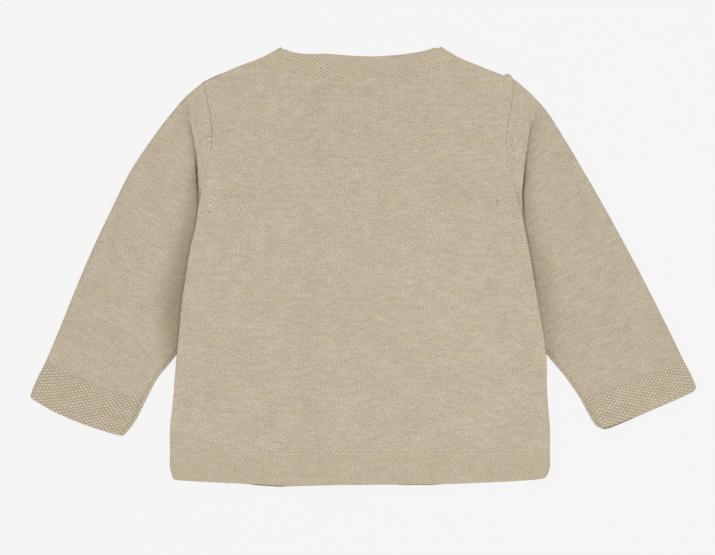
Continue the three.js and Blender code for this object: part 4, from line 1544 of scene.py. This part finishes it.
finish_piece(
    slab(*BACK_HEM_GRID),
    "back_hem_knit",
    wall_place(back_hem_plan(), BACK_HEM_GRID, back_under, MOSS, HEM_RIMS, moss_relief),
    MOSS_KNIT,
    "back_hem",
    "moss_knit",
    shade=hem_shade,
)
for side in ("left", "right"):
    finish_piece(
        slab(*FRONT_HEM_GRID),
        f"front_{side}_hem_knit",
        wall_place(front_hem_plan(side), FRONT_HEM_GRID, FRONT_UNDER[side], MOSS, HEM_RIMS),
        MOSS_KNIT,
        f"front_{side}_hem",
        "moss_knit",
        shade=under_hem_shade,
    )

# %% [markdown]
# ## The neckband
#
# One strip goes round the whole neck. It starts at the left front's edge, climbs to the neck
# point, folds over onto the back, crosses it, folds under again and runs down the right front.
# The path is worked out as closely spaced sections, each with a free edge, a seam edge and the
# way that its face looks, and the slab is laid along them.

# %% Sections of the neckband
NECK_FOLD_STEPS = 12
NECK_PART_STEPS = 80


def front_neck_sections(side):
    t = np.linspace(0, 1, NECK_PART_STEPS)
    free, seam = edge(NECK_EDGE_FRONT, side)(t), edge(NECK_SEAM_FRONT, side)(t)
    rise = overlap_rise if side == "left" else level(0)
    lifted = [np.column_stack([p, rise(*p.T) + MOSS / 2]) for p in (free, seam)]
    return np.hstack([*lifted, np.tile((0, 0, -1), (len(t), 1))])


def back_neck_sections():
    t = np.linspace(0, 1, 2 * NECK_PART_STEPS)
    free = edge(NECK_EDGE_BACK)(t)
    seam = moved(edge(NECK_SEAM_BACK), 0, JOIN)(t)
    lifted = [np.column_stack([p, back_under(*p.T) + MOSS / 2]) for p in (free, seam)]
    return np.hstack([*lifted, np.tile((0, 0, 1), (len(t), 1))])


def fold_sections(free, seam, outwards):
    """Sections round the fold at a neck point, from the front layer up to the back layer."""
    low, high = MOSS / 2, BACK_UNDER + MOSS / 2
    turn = np.linspace(-np.pi / 2, np.pi / 2, NECK_FOLD_STEPS)[1:-1]
    face = np.column_stack([outwards[0] * np.cos(turn), outwards[1] * np.cos(turn), np.sin(turn)])
    shift = face * (high - low) / 2
    flush = face * (-MOSS / 2, -MOSS / 2, (high - low) / 2)
    middle = (low + high) / 2
    return np.hstack([(*free[:2], middle) + shift, (*seam[:2], middle) + flush, face])


def neck_sections():
    back_part = back_neck_sections()
    folds = []
    for row, sign in ((back_part[0], 1), (back_part[-1], -1)):
        free, seam = row[0:3], row[3:6]
        across = (seam - free)[:2] / np.linalg.norm((seam - free)[:2])
        folds.append(fold_sections(free, seam, (sign * across[1], -sign * across[0])))
    return np.vstack(
        [
            front_neck_sections("left")[::-1],
            folds[0],
            back_part,
            folds[1][::-1],
            front_neck_sections("right"),
        ]
    )


print("sections of the neckband:", len(neck_sections()))

# %% [markdown]
# ## Laying the neckband
#
# The slab runs along the sections with its face turned the way that each says. Near the two
# folds the strip is stretched, and stretched moss stitch shows its grains less.

# %% Lay the neckband
NECK_GRID = (560, 34)
NECK_RIM = 0.9
NECK_SMOOTHED = {"from": 2, "to": 8, "share": 0.85}


def neck_smoothed(x, y):
    """Share of its grains that the band loses near the two folds, where it is stretched."""
    free, seam = NECK_EDGE_BACK, NECK_SEAM_BACK
    shares = []
    for i in (0, -1):
        away = np.array([seam["x"][i] - free["x"][i], seam["y"][i] - free["y"][i]])
        away = away / np.linalg.norm(away)
        off = np.abs((x - free["x"][i]) * away[1] - (y - free["y"][i]) * away[0])
        shares.append(1 - soft(NECK_SMOOTHED["from"], NECK_SMOOTHED["to"], off))
    return NECK_SMOOTHED["share"] * np.maximum(*shares)


def neck_place(grid):
    rows = neck_sections()
    middle = (rows[:, 0:3] + rows[:, 3:6]) / 2
    gone = np.concatenate([[0], np.cumsum(np.linalg.norm(np.diff(middle, axis=0), axis=1))])
    width = float(np.linalg.norm(rows[len(rows) // 2, 3:6] - rows[len(rows) // 2, 0:3]))

    def place(u, v, w):
        v = crowded(v, grid[1], width)
        at = np.stack([np.interp(u * gone[-1], gone, rows[:, k]) for k in range(9)], axis=1)
        free, seam, face = at[:, 0:3], at[:, 3:6], at[:, 6:9]
        face = face / np.linalg.norm(face, axis=1)[:, None]
        spot = seam + (free - seam) * v[:, None]
        fall = rim_fall((v * width, (1 - v) * width), (JOIN_RADIUS, NECK_RIM))
        measure = np.stack([u * gone[-1], v * width], axis=1)
        kept = 1 - neck_smoothed(spot[:, 0], spot[:, 1])
        grains = MOSS_HEIGHT * (moss(*measure.T) - 1) * kept
        out = np.where(w > 0.5, MOSS / 2 - fall + grains, -MOSS / 2)
        return spot + face * out[:, None], measure

    return place


finish_piece(
    slab(*NECK_GRID),
    "neckband_knit",
    neck_place(NECK_GRID),
    MOSS_KNIT,
    "neckband",
    "moss_knit",
    smoothed=neck_smoothed,
)

# %% [markdown]
# ## The front bands
#
# The two bands lie on each other under the back. The outer one, which has the buttonholes on
# a real cardigan, is on the surface. Round hollows in its face take the buttons, which cover
# the places of the holes, so none are cut.

# %% Lay the bands
BAND_GRID = (30, 150)
BAND_RIMS = (0.8,) * 4
BUTTON_RADIUS = 6.5
BUTTON_THICK = 1.2
BUTTON_FIRST_Y = 88
BUTTON_STEP = 56
BUTTON_COUNT = 5
BUTTON_ROOM = 0.2
HOLLOW_SLOPE = 1.2


def band_plan():
    ys = (BAND_FOOT_Y, BAND_HEAD_Y)
    (l0, r0), (l1, r1) = (placket_edges(y) for y in ys)
    return patch(
        straight((l0, ys[0]), (r0, ys[0])),
        straight((l1, ys[1]), (r1, ys[1])),
        straight((l0, ys[0]), (l1, ys[1])),
        straight((r0, ys[0]), (r1, ys[1])),
    )


button_y = BUTTON_FIRST_Y - BUTTON_STEP * np.arange(BUTTON_COUNT)
button_places = np.column_stack([column_at(PLACKET, button_y), button_y])


def button_hollow(x, y):
    """Depth that the outer band gives way over each button."""
    near = np.min([np.hypot(x - bx, y - by) for bx, by in button_places], axis=0)
    within = 1 - soft(BUTTON_RADIUS, BUTTON_RADIUS + HOLLOW_SLOPE, near)
    return (BUTTON_THICK + BUTTON_ROOM) * within


def buttonhole_place(grid):
    plan = band_plan()
    width, length = PLACKET_WIDTH, BAND_HEAD_Y - BAND_FOOT_Y

    def place(u, v, w):
        u, v = crowded(u, grid[0], width), crowded(v, grid[1], length)
        x, y = plan(u, v).T
        across, up = u * width, v * length
        fall = rim_fall((across, width - across, up, length - up), BAND_RIMS)
        z = np.where(w > 0.5, BUTTONHOLE_BAND - fall, button_hollow(x, y) + fall)
        return np.stack([x, y, z], axis=1), np.stack([up, across], axis=1)

    return place


finish_piece(
    slab(*BAND_GRID),
    "buttonhole_band_knit",
    buttonhole_place(BAND_GRID),
    MOSS_KNIT,
    "buttonhole_band",
    "moss_knit",
)
finish_piece(
    slab(*BAND_GRID),
    "button_band_knit",
    wall_place(
        band_plan(), BAND_GRID, level(BUTTONHOLE_BAND + SEAM_GAP), BUTTON_BAND, BAND_RIMS
    ),
    MOSS_KNIT,
    "button_band",
    "moss_knit",
)

# %% [markdown]
# ## The buttons
#
# A shirt-like button is a turned disc, so a profile spun round its axis makes it. Its face has
# a raised rim round a dished middle. A slow noise stands for the swirls of cast resin.

# %% Button material
BUTTON_DARK = (0.62, 0.53, 0.40, 1)
BUTTON_PALE = (0.72, 0.64, 0.50, 1)
BUTTON_ROUGHNESS = 0.35
SWIRL = {"cell": (11.0, 4.5), "detail": 3.0}


def button_material():
    material = bpy.data.materials.new("Button")
    material.use_nodes = True
    tree = material.node_tree
    shader = tree.nodes["Principled BSDF"]
    shader.inputs["Roughness"].default_value = BUTTON_ROUGHNESS
    at = tree.nodes.new("ShaderNodeTexCoord").outputs["Object"]
    swirl = noise(tree, at, *SWIRL["cell"], SWIRL["detail"]).outputs[0]
    colour = mix_colour(tree, swirl, BUTTON_DARK, BUTTON_PALE)
    tree.links.new(colour, shader.inputs["Base Color"])
    return material


BUTTON = button_material()
print("material:", BUTTON.name)

# %% Spin the buttons
BUTTON_PROFILE = table(
    ("radius", "z"),
    (0.01, 0.35), (0.55, 0.35), (0.66, 0.12), (0.74, 0), (0.92, 0), (0.98, 0.15),
    (1.0, 0.5), (0.98, 0.85), (0.9, 1.2), (0.01, 1.2),
)
BUTTON_SPIN = 48
BUTTON_WELD = 0.2


def button_piece(number, x, y):
    bm = bmesh.new()
    ring = [
        bm.verts.new((r * BUTTON_RADIUS * MM, 0, z * MM))
        for r, z in zip(BUTTON_PROFILE["radius"], BUTTON_PROFILE["z"])
    ]
    sides = [bm.edges.new(pair) for pair in zip(ring, ring[1:])]
    bmesh.ops.spin(
        bm, geom=ring + sides, cent=(0, 0, 0), axis=(0, 0, 1), angle=2 * np.pi,
        steps=BUTTON_SPIN, use_merge=True,
    )
    bmesh.ops.remove_doubles(bm, verts=bm.verts, dist=BUTTON_WELD * MM)
    bmesh.ops.translate(bm, verts=bm.verts, vec=Vector((x, y, 0)) * MM)
    bmesh.ops.recalc_face_normals(bm, faces=bm.faces)
    mesh = bpy.data.meshes.new(f"button_{number}_disc")
    bm.to_mesh(mesh)
    bm.free()
    mesh.polygons.foreach_set("use_smooth", np.ones(len(mesh.polygons), bool))
    mesh.materials.append(BUTTON)
    piece = bpy.data.objects.new(mesh.name, mesh)
    bpy.context.scene.collection.objects.link(piece)
    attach(piece, "root")
    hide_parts(f"button_{number}")


for number, (x, y) in enumerate(button_places, start=1):
    button_piece(number, float(x), float(y))
print("buttons:", BUTTON_COUNT)

# %% [markdown]

# %% [markdown]
# ## Floor, light and camera
#
# The garment lies on a plain white floor that is lit from within, like a light table, so its
# ground stays even. From below the floor is clear, so the underside can be looked at too. A
# soft light hangs above and a pale surround fills the shadows, as in a catalogue studio. The
# camera looks straight down with a long lens, so the flat garment keeps its proportions.

# %% Floor
FLOOR_SIZE = 6.0
FLOOR_GLOW = 0.805
FLOOR_GAP = 0.2
FLOOR_GREY = (0.1, 0.1, 0.1, 1)
FLOOR_ROUGHNESS = 0.9
WHITE = (1, 1, 1, 1)


def floor_piece():
    bm = bmesh.new()
    bmesh.ops.create_grid(bm, x_segments=1, y_segments=1, size=FLOOR_SIZE / 2)
    bmesh.ops.translate(bm, verts=bm.verts, vec=(0, 0, -FLOOR_GAP * MM))
    mesh = bpy.data.meshes.new("floor")
    bm.to_mesh(mesh)
    bm.free()
    material = bpy.data.materials.new("Floor")
    material.use_nodes = True
    tree = material.node_tree
    shader = tree.nodes["Principled BSDF"]
    shader.inputs["Base Color"].default_value = FLOOR_GREY
    shader.inputs["Roughness"].default_value = FLOOR_ROUGHNESS
    shader.inputs["Emission Color"].default_value = WHITE
    shader.inputs["Emission Strength"].default_value = FLOOR_GLOW
    side = tree.nodes.new("ShaderNodeNewGeometry")
    clear = tree.nodes.new("ShaderNodeBsdfTransparent")
    both = tree.nodes.new("ShaderNodeMixShader")
    tree.links.new(side.outputs["Backfacing"], both.inputs[0])
    tree.links.new(shader.outputs[0], both.inputs[1])
    tree.links.new(clear.outputs[0], both.inputs[2])
    tree.links.new(both.outputs[0], tree.nodes["Material Output"].inputs["Surface"])
    mesh.materials.append(material)
    floor = bpy.data.objects.new("floor", mesh)
    bpy.context.scene.collection.objects.link(floor)


floor_piece()
print("floor, m:", FLOOR_SIZE)

# %% Light
LIGHT_HEIGHT = 1.8
LIGHT_SIZE = 1.2
LIGHT_POWER = 15.4
LIGHT_PLACE = (0.2, -0.1)
SURROUND = 0.56


def light_up():
    light = bpy.data.lights.new("softbox", "AREA")
    light.shape = "SQUARE"
    light.size = LIGHT_SIZE
    light.energy = LIGHT_POWER
    lamp = bpy.data.objects.new("softbox", light)
    lamp.location = (*LIGHT_PLACE, LIGHT_HEIGHT)
    lamp.rotation_euler = Vector((*LIGHT_PLACE, LIGHT_HEIGHT)).to_track_quat("Z", "Y").to_euler()
    bpy.context.scene.collection.objects.link(lamp)
    world = bpy.data.worlds.new("surround")
    world.use_nodes = True
    surround = world.node_tree.nodes["Background"]
    surround.inputs["Color"].default_value = WHITE
    surround.inputs["Strength"].default_value = SURROUND
    bpy.context.scene.world = world


light_up()
bpy.context.scene.view_settings.view_transform = "Standard"
print("softbox, watts:", LIGHT_POWER)

# %% Camera
PIXEL = 0.74
FRAME_WIDTH_PX = 715
CENTRE = (-4.07, -7.96)
CAMERA_HEIGHT = 2500
SUBJECT_HEIGHT = 4
SENSOR = 36
FARTHEST = 20


def look_down():
    data = bpy.data.cameras.new("camera")
    data.sensor_fit = "HORIZONTAL"
    data.sensor_width = SENSOR
    data.lens = SENSOR * (CAMERA_HEIGHT - SUBJECT_HEIGHT) / (PIXEL * FRAME_WIDTH_PX)
    data.clip_end = FARTHEST
    camera = bpy.data.objects.new("camera", data)
    camera.location = Vector((*CENTRE, CAMERA_HEIGHT)) * MM
    bpy.context.scene.collection.objects.link(camera)
    bpy.context.scene.camera = camera


look_down()
print("lens, mm:", round(bpy.context.scene.camera.data.lens))
